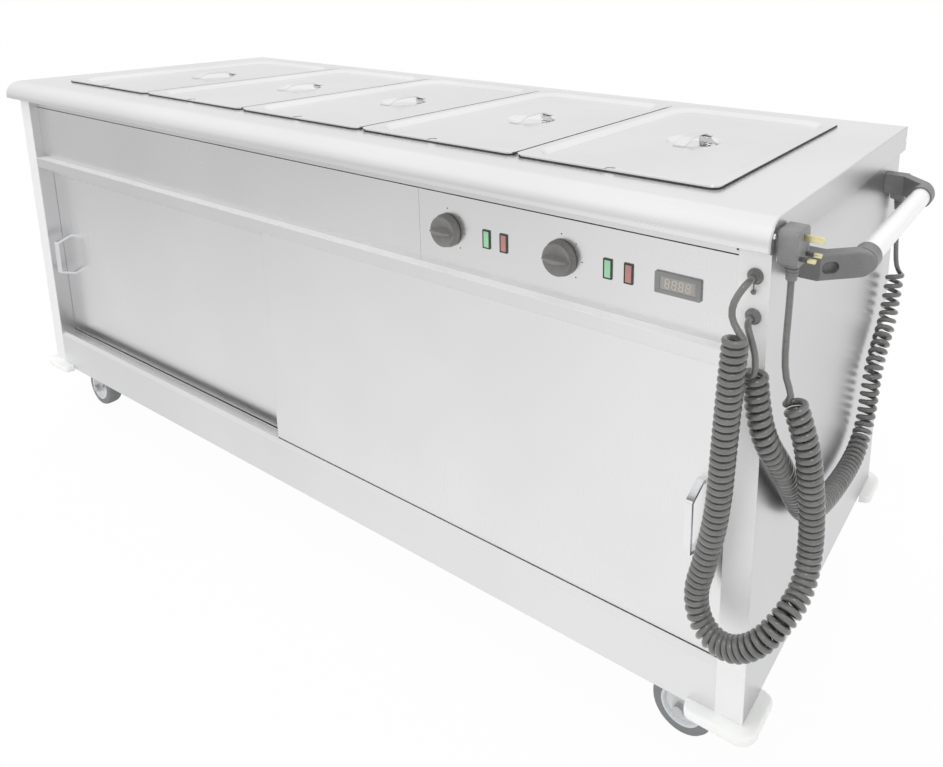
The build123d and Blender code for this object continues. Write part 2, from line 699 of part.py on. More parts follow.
# Thermostats behind the control panel, each turned by a knob on its shaft.
stat_face = Y_FASCIA + SKIN
stats = []
for x, name in zip(KNOB_X, ("knob_wells", "knob_cupboard")):
    stat = span(x - STAT_W / 2, x + STAT_W / 2, stat_face, stat_face + STAT_DEPTH,
                CONTROL_Z - STAT_H / 2, CONTROL_Z + STAT_H / 2)
    stat -= rod_y(SHAFT_R + SHAFT_FIT, x, CONTROL_Z, stat_face - 1, stat_face + SHAFT_IN + 1)
    stats.append(stat)
    skirt_y = Y_FASCIA - KNOB_GAP
    cap_y = skirt_y - KNOB_SKIRT
    knob = rod_y(KNOB_R, x, CONTROL_Z, cap_y, skirt_y)
    knob += Pos(x, cap_y - KNOB_CAP / 2, CONTROL_Z) * Rot(90, 0, 0) * Cone(
        KNOB_CAP_R, KNOB_CAP_R - KNOB_DRAFT, KNOB_CAP)
    knob += span(x - KNOB_CAP_R + KNOB_GRIP_IN, x + KNOB_CAP_R - KNOB_GRIP_IN,
                 cap_y - KNOB_CAP - KNOB_GRIP, cap_y - KNOB_CAP,
                 CONTROL_Z - KNOB_GRIP_W / 2, CONTROL_Z + KNOB_GRIP_W / 2)
    knob += rod_y(SHAFT_R, x, CONTROL_Z, skirt_y, stat_face + SHAFT_IN)
    nodes[name] = knob
nodes["thermostats"] = stats

# Push handle: two thick arms that turn in at a crease and end round, with a tube between them.
arm_r = ARM_H / 2
arm_front = -ARM_Y - ARM_T / 2
arm_back = -ARM_Y + ARM_T / 2
arm_bend_x = X_END + ARM_OUT
boss_r = arm_r + BOSS_PROUD
tip_x = GRIP_X + arm_r + ARM_PAST
tip_y = arm_front + (tip_x - arm_bend_x) * ARM_RISE_Y / ARM_RISE_X
inner_bend_x = tip_x - (tip_y + ARM_DEPTH - arm_back) * ARM_RISE_X / ARM_RISE_Y
arm_plan = make_face(Polyline(
    (X_END, arm_front),
    (arm_bend_x, arm_front),
    (tip_x, tip_y),
    (tip_x, tip_y + ARM_DEPTH),
    (inner_bend_x, arm_back),
    (X_END, arm_back),
    close=True,
))
arm_side = Pos((X_END + GRIP_X) / 2, ARM_Z) * Rectangle(GRIP_X - X_END, ARM_H)
arm_side += Pos(GRIP_X, ARM_Z) * Circle(arm_r)
arm = extrude(Pos(0, 0, ARM_Z - arm_r) * arm_plan, amount=ARM_H)
arm &= extrude(Plane.XZ * arm_side, amount=CAB_W / 2)
slant = Vector(ARM_RISE_X, ARM_RISE_Y, 0).normalized()
outward = slant.cross(Vector(0, 0, 1))
slant_front = arm.faces().sort_by(lambda f: f.normal_at().dot(outward))[-1]
crease = slant_front.edges().sort_by(Axis.X)[0]
arm = fillet([e for e in slant_front.edges() if e != crease], ARM_EDGE)
arm += rod_y(boss_r, GRIP_X, ARM_Z, -BOSS_OUT_Y, -BOSS_IN_Y)
arm -= rod_y(GRIP_R + GRIP_FIT, GRIP_X, ARM_Z, -GRIP_END_Y, -BOSS_IN_Y + 1)
slot_mid = Vector(arm_bend_x, arm_front, ARM_Z) + slant * ARM_SLOT_AT
slot_plane = Plane(origin=slot_mid, x_dir=slant, z_dir=outward)
arm -= extrude(slot_plane * SlotOverall(ARM_SLOT_L, ARM_SLOT_W), amount=-ARM_SLOT_DEPTH)
nodes["handle_arms"] = [arm, flip_y(arm)]
nodes["handle_grip"] = rod_y(GRIP_R, GRIP_X, ARM_Z, -GRIP_END_Y, GRIP_END_Y)

# Corner bumpers: L-shaped pads below the cabinet's edge, with a web under the bottom plate.
bump_x = X_END + BUMP_OUT
bump_y = Y_FACE - BUMP_OUT
pad = span(bump_x - BUMP_LEG, bump_x, bump_y, bump_y + BUMP_SIDE, CAB_Z - BUMP_H, CAB_Z)
pad -= span(bump_x - BUMP_LEG - 1, X_END, Y_FACE, bump_y + BUMP_SIDE + 1, CAB_Z - BUMP_H - 1, CAB_Z + 1)
corner = pad.edges().filter_by(Axis.Z).sort_by(lambda e: e.center().X - e.center().Y)[-1]
pad = fillet(corner, BUMP_R)
tips = pad.edges().filter_by(Axis.Z).filter_by(
    lambda e: e.center().X < bump_x - BUMP_LEG + 1 or e.center().Y > bump_y + BUMP_SIDE - 1)
outer_tips = tips.filter_by(lambda e: e.center().X > bump_x - 1 or e.center().Y < bump_y + 1)
pad = fillet(outer_tips, BUMP_TIP_R)
web_x = X_POST + BUMP_CLEAR
pad += span(web_x, X_END, Y_FACE, Y_FACE + BUMP_WEB, CAB_Z - BUMP_H, CAB_Z)
nodes["corner_bumpers"] = [pad, flip(pad), flip_y(pad), flip(flip_y(pad))]

# Chassis: two channels across the underside, a castor plate bolted below each end of them.
channel = span(CASTOR_X - CHANNEL_W / 2, CASTOR_X + CHANNEL_W / 2, -CHANNEL_HALF, CHANNEL_HALF,
               CHANNEL_Z, CAB_Z)
channel -= span(CASTOR_X - CHANNEL_W / 2 + CHANNEL_T, CASTOR_X + CHANNEL_W / 2 - CHANNEL_T,
                -CHANNEL_HALF - 1, CHANNEL_HALF + 1, CHANNEL_Z + CHANNEL_T, CAB_Z + 1)
plate_low = CHANNEL_Z - PLATE_T
race_low = plate_low - RACE_T
bolts = []
plates = []
for sy in (-1, 1):
    y = sy * CASTOR_Y
    channel -= rod_z(KINGPIN_R + KINGPIN_CLEAR, CASTOR_X, y, CHANNEL_Z - 1, CHANNEL_Z + CHANNEL_T + 1)
    plate = span(CASTOR_X - PLATE_X / 2, CASTOR_X + PLATE_X / 2, y - PLATE_Y / 2, y + PLATE_Y / 2,
                 plate_low, CHANNEL_Z)
    plate += rod_z(RACE_R, CASTOR_X, y, race_low, plate_low)
    plate -= rod_z(KINGPIN_R + RUN_FIT, CASTOR_X, y, race_low - 1, CHANNEL_Z + 1)
    for bx in (-BOLT_IN_X, BOLT_IN_X):
        for by in (-BOLT_IN_Y, BOLT_IN_Y):
            channel -= rod_z(BOLT_R, CASTOR_X + bx, y + by, CHANNEL_Z - 1, CHANNEL_Z + CHANNEL_T + 1)
            plate -= rod_z(BOLT_R, CASTOR_X + bx, y + by, plate_low - 1, CHANNEL_Z + 1)
            bolt = rod_z(BOLT_R, CASTOR_X + bx, y + by, plate_low, CHANNEL_Z + CHANNEL_T)
            bolt += rod_z(BOLT_HEAD_R, CASTOR_X + bx, y + by, plate_low - BOLT_HEAD, plate_low)
            bolt += rod_z(BOLT_HEAD_R, CASTOR_X + bx, y + by, CHANNEL_Z + CHANNEL_T,
                          CHANNEL_Z + CHANNEL_T + BOLT_HEAD)
            bolts.append(bolt)
    plates.append(plate)
nodes["chassis_channels"] = [channel, flip(channel)]
nodes["castor_plates"] = plates + [flip(plate) for plate in plates]
nodes["castor_bolts"] = bolts + [flip(bolt) for bolt in bolts]

# Castor: swivel head and pin, two legs joined by a bridge, an axle trailing behind the pin.
head_high = race_low - SWIVEL_GAP
leg_in = WHEEL_W / 2 + LEG_GAP
leg_out = leg_in + LEG_T
fork = rod_z(HEAD_R, 0, 0, head_high - HEAD_T, head_high)
fork += rod_z(KINGPIN_R, 0, 0, head_high, CHANNEL_Z + CHANNEL_T)
fork += span(-HEAD_R, HEAD_R, -leg_out, leg_out, BRIDGE_Z, head_high - HEAD_T)
leg_plan = make_face(Polyline(
    (-HEAD_R, head_high - HEAD_T),
    (HEAD_R, head_high - HEAD_T),
    (HEAD_R, BRIDGE_Z - LEG_STEP),
    (LEG_TOE_X - TRAIL, WHEEL_R - LEG_TOE_Z),
    (-TRAIL - LEG_EYE_R, WHEEL_R),
    close=True,
))
leg_plan += Pos(-TRAIL, WHEEL_R) * Circle(LEG_EYE_R)
fork += extrude(Plane.XZ.offset(leg_in) * leg_plan, amount=LEG_T)
fork += extrude(Plane.XZ.offset(-leg_in) * leg_plan, amount=-LEG_T)
fork -= rod_y(AXLE_R, -TRAIL, WHEEL_R, -leg_out - 1, leg_out + 1)
axle = rod_y(AXLE_R, -TRAIL, WHEEL_R, -leg_out, leg_out)
axle += rod_y(AXLE_NUT_R, -TRAIL, WHEEL_R, -leg_out - AXLE_NUT, -leg_out)
axle += rod_y(AXLE_NUT_R, -TRAIL, WHEEL_R, leg_out, leg_out + AXLE_NUT)
hub_r = WHEEL_R - TYRE_T
hub = rod_y(hub_r, -TRAIL, WHEEL_R, -WHEEL_W / 2, WHEEL_W / 2)
hub -= rod_y(hub_r - HUB_DISH, -TRAIL, WHEEL_R, -WHEEL_W / 2 - 1, -WHEEL_W / 2 + HUB_DISH)
hub -= rod_y(hub_r - HUB_DISH, -TRAIL, WHEEL_R, WHEEL_W / 2 - HUB_DISH, WHEEL_W / 2 + 1)
boss = leg_in - HUB_BOSS_GAP
hub += rod_y(HUB_BOSS_R, -TRAIL, WHEEL_R, -boss, boss)
hub -= rod_y(AXLE_R + RUN_FIT, -TRAIL, WHEEL_R, -boss - 1, boss + 1)
tyre = rod_y(WHEEL_R, -TRAIL, WHEEL_R, -WHEEL_W / 2, WHEEL_W / 2)
tyre = fillet(tyre.edges(), TYRE_EDGE)
tyre -= rod_y(hub_r, -TRAIL, WHEEL_R, -WHEEL_W / 2 - 1, WHEEL_W / 2 + 1)
for name, sx, sy in (("fl", -1, -1), ("fr", 1, -1), ("rl", -1, 1), ("rr", 1, 1)):
    place = Pos(sx * CASTOR_X, sy * CASTOR_Y, 0)
    nodes["castor_fork_" + name] = [place * fork, place * axle]
    nodes["castor_wheel_" + name] = [place * hub, place * tyre]

# Cord glands in the right-hand post face, each with a nut behind the sheet.
gland_tip = Y_FACE - GLAND_T - GLAND_NOSE
glands = []
for z in GLAND_Z:
    gland = rod_y(GLAND_R, GLAND_X, z, Y_FACE - GLAND_T, Y_FACE)
    gland += rod_y(GLAND_NOSE_R, GLAND_X, z, gland_tip, Y_FACE - GLAND_T)
    gland += rod_y(GLAND_SHANK_R, GLAND_X, z, Y_FACE, Y_FACE + GLAND_SHANK)
    gland += rod_y(GLAND_NUT_R, GLAND_X, z, Y_FACE + SKIN, Y_FACE + SKIN + GLAND_NUT)
    glands.append(gland)
nodes["cord_glands"] = glands

# Plugs parked on the end panel: body, ribbed neck and three pins, on a clip each.
clips = []
plugs = []
pins = []
necks = []
for y, z, seat in ((PLUG_Y[0], PLUG_Z[0], X_TOP), (PLUG_Y[1], PLUG_Z[1], X_END)):
    back_x = seat + CLIP_T
    front_x = back_x + PLUG_T
    clips.append(span(seat, back_x, y - CLIP_Y / 2, y + CLIP_Y / 2, z - CLIP_Z / 2, z + CLIP_Z / 2))
    plug_low = z - PLUG_H / 2
    body = span(back_x, front_x, y - PLUG_W / 2, y + PLUG_W / 2, plug_low, z + PLUG_H / 2)
    body = chamfer(body.edges().filter_by(Axis.X).group_by(Axis.Z)[0], PLUG_CHAMFER)
    body = fillet(body.edges().filter_by(Axis.X).group_by(Axis.Z)[-1], PLUG_CORNER)
    neck_x = (back_x + front_x) / 2
    neck_low = plug_low - PLUG_NECK
    body += rod_z(PLUG_NECK_R, neck_x, y, neck_low, plug_low + NECK_ROOT)
    plugs.append(body)
    necks.append((neck_x, y, neck_low))
    pins.append(span(front_x, front_x + PIN_LONG, y - PIN_T / 2, y + PIN_T / 2,
                     z + PIN_DROP - EARTH_H / 2, z + PIN_DROP + EARTH_H / 2))
    for side in (-1, 1):
        py = y + side * PIN_SPREAD / 2
        pins.append(span(front_x, front_x + PIN_SHORT, py - PIN_W / 2, py + PIN_W / 2,
                         z - PIN_DROP - PIN_T / 2, z - PIN_DROP + PIN_T / 2))
nodes["plug_clips"] = clips
nodes["plugs"] = plugs + pins

# Routes of the coiled stretches: control points of a smooth curve down the middle of the coil.
ROUTES = (
    [
        (903, -374, 720),
        (898, -372, 648),
        (893, -368, 566),
        (887, -361, 482),
        (872, -356, 405),
        (859, -356, 352),
        (873, -359, 311),
        (909, -366, 301),
        (948, -370, 330),
        (973, -350, 366),
        (982, -310, 384),
        (982, -292, 420),
        (982, -294, 470),
        (980, -304, 525),
        (974, -314, 585),
        (956, -314, 628),
    ],
    [
        (915, -339, 668),
        (920, -341, 628),
        (932, -340, 584),
        (943, -308, 538),
        (942, -252, 468),
        (942, -200, 405),
        (942, -125, 366),
        (942, -48, 346),
        (942, 30, 335),
        (942, 92, 337),
        (942, 134, 362),
        (942, 150, 410),
        (942, 162, 455),
        (942, 195, 487),
        (942, 235, 514),
        (942, 254, 552),
        (942, 268, 598),
    ],
)
START_PHASE = (0.0, 70.0)
LEAD_IN = (
    [((890, -356, 750), (0.1, -0.35, -0.93))],
    [((916, -352, 706), (0.2, 0.1, -0.97))],
)
LEAD_OUT = (
    [((943, -322, 700), (0.0, 0.05, 1.0))],
    [((936, 278, 676), (-0.05, 0.05, 1.0))],
)
ROUTE_STEPS = 24
SKIP_ARCS = 10


def route_points(controls):
    """Quadratic curve through the middles of the control polygon's legs, evenly sampled."""
    ctrl = [Vector(*c) for c in controls]
    joints = [ctrl[0]]
    joints += [(ctrl[i] + ctrl[i + 1]) * 0.5 for i in range(1, len(ctrl) - 2)]
    joints.append(ctrl[-1])
    dense = [joints[0]]
    for i in range(1, len(ctrl) - 1):
        for k in range(1, ROUTE_STEPS + 1):
            t = k / ROUTE_STEPS
            dense.append(joints[i - 1] * (1 - t) ** 2 + ctrl[i] * (2 * t * (1 - t)) + joints[i] * t ** 2)
    return dense


def even_points(dense, count):
    """Points at equal distances along a dense run of points."""
    reach = [0.0]
    for a, b in zip(dense, dense[1:]):
        reach.append(reach[-1] + (b - a).length)
    out = []
    k = 0
    for i in range(count + 1):
        s = reach[-1] * i / count
        while k < len(dense) - 2 and reach[k + 1] < s:
            k += 1
        t = (s - reach[k]) / (reach[k + 1] - reach[k])
        out.append(dense[k] + (dense[k + 1] - dense[k]) * t)
    return out, reach[-1]


def coil(controls, turns, phase):
    """Places and directions of the wire at each step of its turns round the route."""
    fine = 8
    axis, length = even_points(route_points(controls), turns * TURN_STEPS * fine)
    count = len(axis)
    normal = None
    places = []
    for i in range(count):
        ahead = axis[min(i + 1, count - 1)] - axis[max(i - 1, 0)]
        t = ahead.normalized()
        if normal is None:
            normal = (Vector(1, 0, 0) - t * t.X).normalized()
        normal = (normal - t * normal.dot(t)).normalized()
        angle = radians(phase) + 2 * pi * i / (TURN_STEPS * fine)
        offset = normal * cos(angle) + t.cross(normal) * sin(angle)
        places.append(axis[i] + offset * CURL_R)
    out = []
    for i in range(0, count, fine):
        before = places[max(i - 1, 0)]
        after = places[min(i + 1, count - 1)]
        out.append((places[i], (after - before).normalized()))
    return out, length


def biarc(start, end):
    """Two arcs that leave one place and reach the next along their directions."""
    p0, t0 = start
    p1, t1 = end
    v = p1 - p0
    t = t0 + t1
    bend = 2 * (1 - t0.dot(t1))
    if (v.normalized() - t0).length < 1e-6:
        return [Edge.make_line(p0, p1)]
    along = v.dot(t)
    if bend < 1e-9:
        d = v.dot(v) / (4 * v.dot(t1))
    else:
        d = (-along + sqrt(along ** 2 + bend * v.dot(v))) / bend
    a = p0 + t0 * d
    b = p1 - t1 * d
    joint = (a + b) * 0.5
    through = (b - a).normalized()
    return [Edge.make_tangent_arc(p0, t0, joint), Edge.make_tangent_arc(joint, through, p1)]


def samples(edges):
    """Places along the wire, four to each arc."""
    return [edge @ (k / 4) for edge in edges for k in range(4)]


def least_gap(points, others, skip):
    """Smallest clear distance between two runs of wire, leaving out near neighbours."""
    best = 1e9
    for i, p in enumerate(points):
        for q in others[i + skip:]:
            gap = (p.X - q.X) ** 2 + (p.Y - q.Y) ** 2 + (p.Z - q.Z) ** 2
            best = min(best, gap)
    return sqrt(best) - 2 * WIRE_R


wires = []
for n in range(2):
    stations, route_length = coil(ROUTES[n], CURLS[n], START_PHASE[n])
    gland_at = Vector(GLAND_X, gland_tip, GLAND_Z[n])
    neck_at = Vector(*necks[n])
    run = 2 * WIRE_R
    out_dir = Vector(0, -1, 0)
    up_dir = Vector(0, 0, 1)
    chain = [(gland_at, out_dir), (gland_at + out_dir * run, out_dir)]
    chain += [(Vector(*p), Vector(*d).normalized()) for p, d in LEAD_IN[n]]
    chain += stations
    chain += [(Vector(*p), Vector(*d).normalized()) for p, d in LEAD_OUT[n]]
    chain += [(neck_at - up_dir * run, up_dir), (neck_at, up_dir)]
    edges = []
    for a, b in zip(chain, chain[1:]):
        edges += biarc(a, b)
    path = Wire(edges)
    section = Plane(origin=gland_at, z_dir=out_dir) * Circle(WIRE_R)
    tube = sweep(section, path=path)
    wires.append(samples(edges))
    print("cord", n + 1, "wire length %.0f" % path.length, "coil axis %.0f" % route_length,
          "pitch %.2f" % (route_length / CURLS[n]),
          "least self-gap %.2f" % least_gap(wires[n], wires[n], SKIP_ARCS),
          "volume ratio %.4f" % (tube.volume / (pi * WIRE_R ** 2 * path.length)))
    nodes["cord_%d" % (n + 1)] = tube

print("least gap between the cords %.2f" % min(least_gap([p], wires[1], 0) for p in wires[0]))

# Every node is moved so that the origin lies on the floor under the middle of the object.
x_mid = (GRIP_X + boss_r - bump_x) / 2
y_mid = (top_front - bump_y) / 2
to_origin = Pos(-x_mid, -y_mid, 0)
os.makedirs("parts", exist_ok=True)
for name, shape in nodes.items():
    pieces = shape if isinstance(shape, list) else [shape]
    solids = [solid for piece in pieces for solid in (to_origin * piece).solids()]
    export_step(Compound(children=solids) if len(solids) > 1 else solids[0], "parts/%s.step" % name)
print(len(nodes), "nodes; origin moved by", x_mid, y_mid)
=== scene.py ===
from math import cos, pi, radians, sin

import bmesh
import bpy
from mathutils import Matrix, Vector


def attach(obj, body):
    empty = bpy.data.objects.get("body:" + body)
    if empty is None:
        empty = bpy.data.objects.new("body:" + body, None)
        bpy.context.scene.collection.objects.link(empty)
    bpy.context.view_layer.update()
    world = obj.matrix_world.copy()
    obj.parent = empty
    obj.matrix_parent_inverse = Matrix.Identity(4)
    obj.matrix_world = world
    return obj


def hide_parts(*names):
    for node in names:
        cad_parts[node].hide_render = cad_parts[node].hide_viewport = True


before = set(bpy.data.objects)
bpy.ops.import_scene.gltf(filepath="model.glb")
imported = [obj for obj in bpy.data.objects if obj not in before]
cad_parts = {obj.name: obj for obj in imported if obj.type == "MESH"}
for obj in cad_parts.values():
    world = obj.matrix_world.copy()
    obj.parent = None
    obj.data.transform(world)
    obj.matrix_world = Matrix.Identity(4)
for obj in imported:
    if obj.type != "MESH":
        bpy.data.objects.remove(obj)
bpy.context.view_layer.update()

# Chassis: two folded steel channels across the underside, with a pressed plate and four bolts
# for each castor. All of it is zinc plated, with the faint mottled spangle of plating.
CORNERS = ("fl", "fr", "rl", "rr")


class Tone:
    """One value in a finish: a node's socket, with arithmetic written as arithmetic."""

    def __init__(self, tree, socket=None):
        self.tree = tree
        self.socket = socket

    def node(self, kind, settings=(), sockets=(), out=0):
        made = self.tree.nodes.new(kind)
        for key, value in dict(settings).items():
            setattr(made, key, value)
        for key, value in dict(sockets).items():
            if isinstance(value, Tone):
                self.tree.links.new(value.socket, made.inputs[key])
            else:
                made.inputs[key].default_value = value
        return Tone(self.tree, made.outputs[out])

    def math(self, operation, a, b):
        return self.node("ShaderNodeMath", {"operation": operation}, {0: a, 1: b})

    def __add__(self, other):
        return self.math("ADD", self, other)

    def __radd__(self, other):
        return self.math("ADD", other, self)

    def __rsub__(self, other):
        return self.math("SUBTRACT", other, self)

    def __mul__(self, other):
        return self.math("MULTIPLY", self, other)

    def __rmul__(self, other):
        return self.math("MULTIPLY", other, self)

    def step(self, low, high):
        """Smooth rise from 0 at low to 1 at high."""
        return self.node("ShaderNodeMapRange", {"interpolation_type": "SMOOTHSTEP"},
                         {"Value": self, "From Min": low, "From Max": high})

    def tint(self, dark, light):
        """Colour between two, by this value. Either may be a value of the finish itself."""
        ends = [c if isinstance(c, Tone) else (*c, 1) for c in (dark, light)]
        return self.node("ShaderNodeMix", {"data_type": "RGBA"}, {0: self, 6: ends[0], 7: ends[1]}, 2)


def finish(name, **constants):
    """A new finish: material, its shader, and a starting point for its nodes."""
    made = bpy.data.materials.new(name)
    made.use_nodes = True
    shader = made.node_tree.nodes["Principled BSDF"]
    for key, value in constants.items():
        shader.inputs[key.replace("_", " ").title()].default_value = value
    return made, shader, Tone(made.node_tree)


def feed(shader, tone_by_socket):
    """Links values to the shader's sockets."""
    for key, tone in tone_by_socket.items():
        tone.tree.links.new(tone.socket, shader.inputs[key])


def noise(start, scale, detail=3.0, stretch=(1, 1, 1), rough=0.55):
    """Cloudy variation in metres, stretched where a grain runs."""
    at = start.node("ShaderNodeTexCoord", out="Object")
    at = start.node("ShaderNodeMapping", (), {"Vector": at, "Scale": stretch})
    return start.node("ShaderNodeTexNoise", (), {"Vector": at, "Scale": scale, "Detail": detail,
                                                 "Roughness": rough})


def relief(start, height, strength, depth, soft):
    """Surface normal with small relief, its sharp edges softened by a radius."""
    edge = start.node("ShaderNodeBevel", {"samples": 4}, {"Radius": soft})
    return start.node("ShaderNodeBump", (), {"Height": height, "Strength": strength, "Distance": depth,
                                             "Normal": edge})


def mottled(name, grain, dark, light, rough=None, bump=None, **constants):
    """A finish with one cloudy variation (scale, detail, stretch) in its colour and, where they are
    given, in its roughness (least, spread) and its relief (strength, depth, softened radius)."""
    material, shader, at = finish(name, **constants)
    cloud = noise(at, *grain)
    feed(shader, {"Base Color": cloud.tint(dark, light)})
    if rough:
        least, spread = rough
        feed(shader, {"Roughness": least + spread * cloud})
    if bump:
        feed(shader, {"Normal": relief(at, cloud, *bump)})
    return material


def dress(material, *nodes):
    """Gives the CAD pieces their finish."""
    for n in nodes:
        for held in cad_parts[n].material_slots:
            held.material = material


zinc = mottled("zinc_plate", (90, 4), (0.50, 0.51, 0.52), (0.66, 0.67, 0.68), (0.28, 0.22),
               (0.05, 0.0003, 0.0008), metallic=0.9)
dress(zinc, "chassis_channels", "castor_plates", "castor_bolts", *["castor_fork_" + c for c in CORNERS])

# Castor wheels: a soft grey tyre moulded on a pale plastic hub, turning on the fork's axle.
# The tread is crowned and the hub has a raised ring and boss on each face.
WHEEL_R = 0.050
WHEEL_W = 0.032
TRAIL = 0.037
PIVOTS = {"fl": (-0.871, -0.236), "fr": (0.805, -0.236), "rl": (-0.871, 0.240), "rr": (0.805, 0.240)}


def piece(name, bm, material, body, smooth=40):
    """Turns a finished bmesh into a piece that rides on a body."""
    bmesh.ops.remove_doubles(bm, verts=bm.verts, dist=1e-6)
    mesh = bpy.data.meshes.new(name)
    bm.to_mesh(mesh)
    bm.free()
    mesh.materials.append(material)
    made = bpy.data.objects.new(name, mesh)
    bpy.context.scene.collection.objects.link(made)
    for face in mesh.polygons:
        face.use_smooth = True
    mesh.set_sharp_from_angle(angle=radians(smooth))
    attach(made, body)
    return made


def turned(profile, centre, axis, steps=48):
    """Body of revolution: (radius, height) points spun round an axis through a centre."""
    bm = bmesh.new()
    line = [bm.verts.new((r, 0, h)) for r, h in profile]
    edges = [bm.edges.new(pair) for pair in zip(line, line[1:])]
    bmesh.ops.spin(bm, geom=line + edges, cent=(0, 0, 0), axis=(0, 0, 1), angle=2 * pi, steps=steps,
                   use_merge=True)
    bmesh.ops.remove_doubles(bm, verts=bm.verts, dist=1e-6)
    bmesh.ops.recalc_face_normals(bm, faces=bm.faces)
    turn = Vector((0, 0, 1)).rotation_difference(Vector(axis)).to_matrix().to_4x4()
    bmesh.ops.transform(bm, matrix=Matrix.Translation(centre) @ turn, verts=bm.verts)
    return bm


tyre = mottled("grey_tyre_rubber", (140, 5), (0.20, 0.215, 0.215), (0.26, 0.275, 0.275), (0.45, 0.25),
               (0.15, 0.0004, 0.0005))
hub = mottled("pale_hub_plastic", (45, 4), (0.70, 0.72, 0.73), (0.80, 0.82, 0.83), (0.3, 0.25),
              (0.06, 0.0003, 0.0006))
half = WHEEL_W / 2
side = [(0.0336, -half), (0.0430, -half), (0.0472, -half + 0.0015), (0.0494, -half + 0.0050),
        (WHEEL_R, -half + 0.0100)]
tread = side + [(r, -h) for r, h in reversed(side)] + side[:1]
face = [(0.00505, -half - 0.0018), (0.0115, -half - 0.0018), (0.0125, -half), (0.0130, -half + 0.0045),
        (0.0280, -half + 0.0055), (0.0294, -half + 0.0010), (0.0304, -half), (0.0335, -half)]
rim = face + [(r, -h) for r, h in reversed(face)] + face[:1]
for corner, (x, y) in PIVOTS.items():
    centre = (x - TRAIL, y, WHEEL_R)
    ring = piece("tyre_" + corner, turned(tread, centre, (0, 1, 0)), tyre, "wheel_" + corner)
    piece("hub_" + corner, turned(rim, centre, (0, 1, 0)), hub, "wheel_" + corner, 30)
    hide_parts("castor_wheel_" + corner)

# Corner bumpers: white moulded pads screwed under the four corners, to save walls and doors.
# Each wraps its corner, with a web inside it that takes the screws. The plastic is slightly
# translucent.
MIDDLE_X = -0.033
MIDDLE_Y = 0.002
PAD = ((0.807, -0.338), (0.907, -0.338), (0.907, -0.250), (0.887, -0.250), (0.887, -0.282), (0.849, -0.282),
       (0.849, -0.318), (0.807, -0.318))
PAD_ROUNDS = {(0.907, -0.338): 0.024, (0.807, -0.338): 0.012, (0.907, -0.250): 0.012}
PAD_OUT_X = 0.8871
PAD_OUT_Y = -0.3181
PAD_Z = 0.135
PAD_H = 0.015
PAD_EDGE = 0.004


def soften(bm, geom, radius, segments, affect="EDGES"):
    """Rounds edges, or the corners of an outline."""
    return bmesh.ops.bevel(bm, geom=geom, offset=radius, offset_type="OFFSET", affect=affect,
                           segments=segments, profile=0.5, material=-1)


def run(edge, axis):
    """How far an edge goes along x, y or z."""
    a, b = edge.verts
    return abs(getattr(a.co, axis) - getattr(b.co, axis))


def carry(bm, grown, way):
    """Moves the new end of what was just extruded."""
    bmesh.ops.translate(bm, verts=[g for g in grown["geom"] if isinstance(g, bmesh.types.BMVert)], vec=way)


bumper = mottled("white_bumper_plastic", (30, 5), (0.90, 0.90, 0.89), (0.95, 0.95, 0.94), (0.3, 0.2),
                 (0.03, 0.0005, 0.0015), subsurface_weight=0.15)
for corner in ("fr", "fl", "rr", "rl"):
    bm = bmesh.new()
    bm.faces.new([bm.verts.new((x, y, PAD_Z)) for x, y in PAD])
    for spot, radius in PAD_ROUNDS.items():
        tip = [v for v in bm.verts if (v.co.xy - Vector(spot)).length < 1e-5]
        soften(bm, tip, radius, 8, "VERTICES")
    carry(bm, bmesh.ops.extrude_face_region(bm, geom=bm.faces[:]), (0, 0, PAD_H))
    outside = [e for e in bm.edges if run(e, "z") < 1e-6
               and all(v.co.x > PAD_OUT_X or v.co.y < PAD_OUT_Y for v in e.verts)]
    soften(bm, outside, PAD_EDGE, 4)
    for v in bm.verts:
        if corner[1] == "l":
            v.co.x = 2 * MIDDLE_X - v.co.x
        if corner[0] == "r":
            v.co.y = 2 * MIDDLE_Y - v.co.y
    bmesh.ops.recalc_face_normals(bm, faces=bm.faces)
    piece("corner_pad_" + corner, bm, bumper, "cabinet")
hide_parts("corner_bumpers")

# Cabinet: stainless sheet folded to end panels with posts, a stepped back and a flat bottom.
# The sheet is brushed along its length. The sides of the ends are painted a shade darker, as painted
# shade, and the fronts of the posts are painted lighter, as painted light.
POST_Y = -0.318


def steel(name, dark, light, grain, rough, spread=0.12, soft=0.0012, brush=0.008, face=None, metal=1.0):
    """Brushed stainless sheet: fine streaks along one direction and broad soft clouding. The face
    beyond a place on one axis may have a tone, a roughness and a bloom of its own; that tone is
    painted light or painted shade, the face made lighter or darker for how light falls on it.
    Duller sheet has less metal in its shading."""
    material, shader, at = finish(name, metallic=metal)
    along = [900.0, 900.0, 900.0]
    along["xyz".index(grain)] = 9.0
    streak = noise(at, 1.0, 2, along, 0.6)
    cloud = noise(at, 2.3, 3)
    colour = (0.12 * streak + 0.88 * cloud).step(0.25, 0.75).tint(dark, light)
    matt = rough - spread / 2 + spread * (0.4 * streak + 0.6 * cloud)
    if face:
        # The face's tone is painted light or painted shade: a lighter or darker copy of the sheet.
        axis, near, far, tone, dull, bloom = face
        place = at.node("ShaderNodeTexCoord", out="Object")
        painted_face = at.node("ShaderNodeSeparateXYZ", (), {0: place}, axis).step(near, far)
        colour = painted_face.tint(colour, (tone, tone, tone))
        matt = matt + painted_face * (dull - rough)
        feed(shader, {"Metallic": 1.0 - painted_face * bloom})
    feed(shader, {"Base Color": colour, "Roughness": matt, "Normal": relief(at, streak, brush, 0.0002, soft)})
    return material


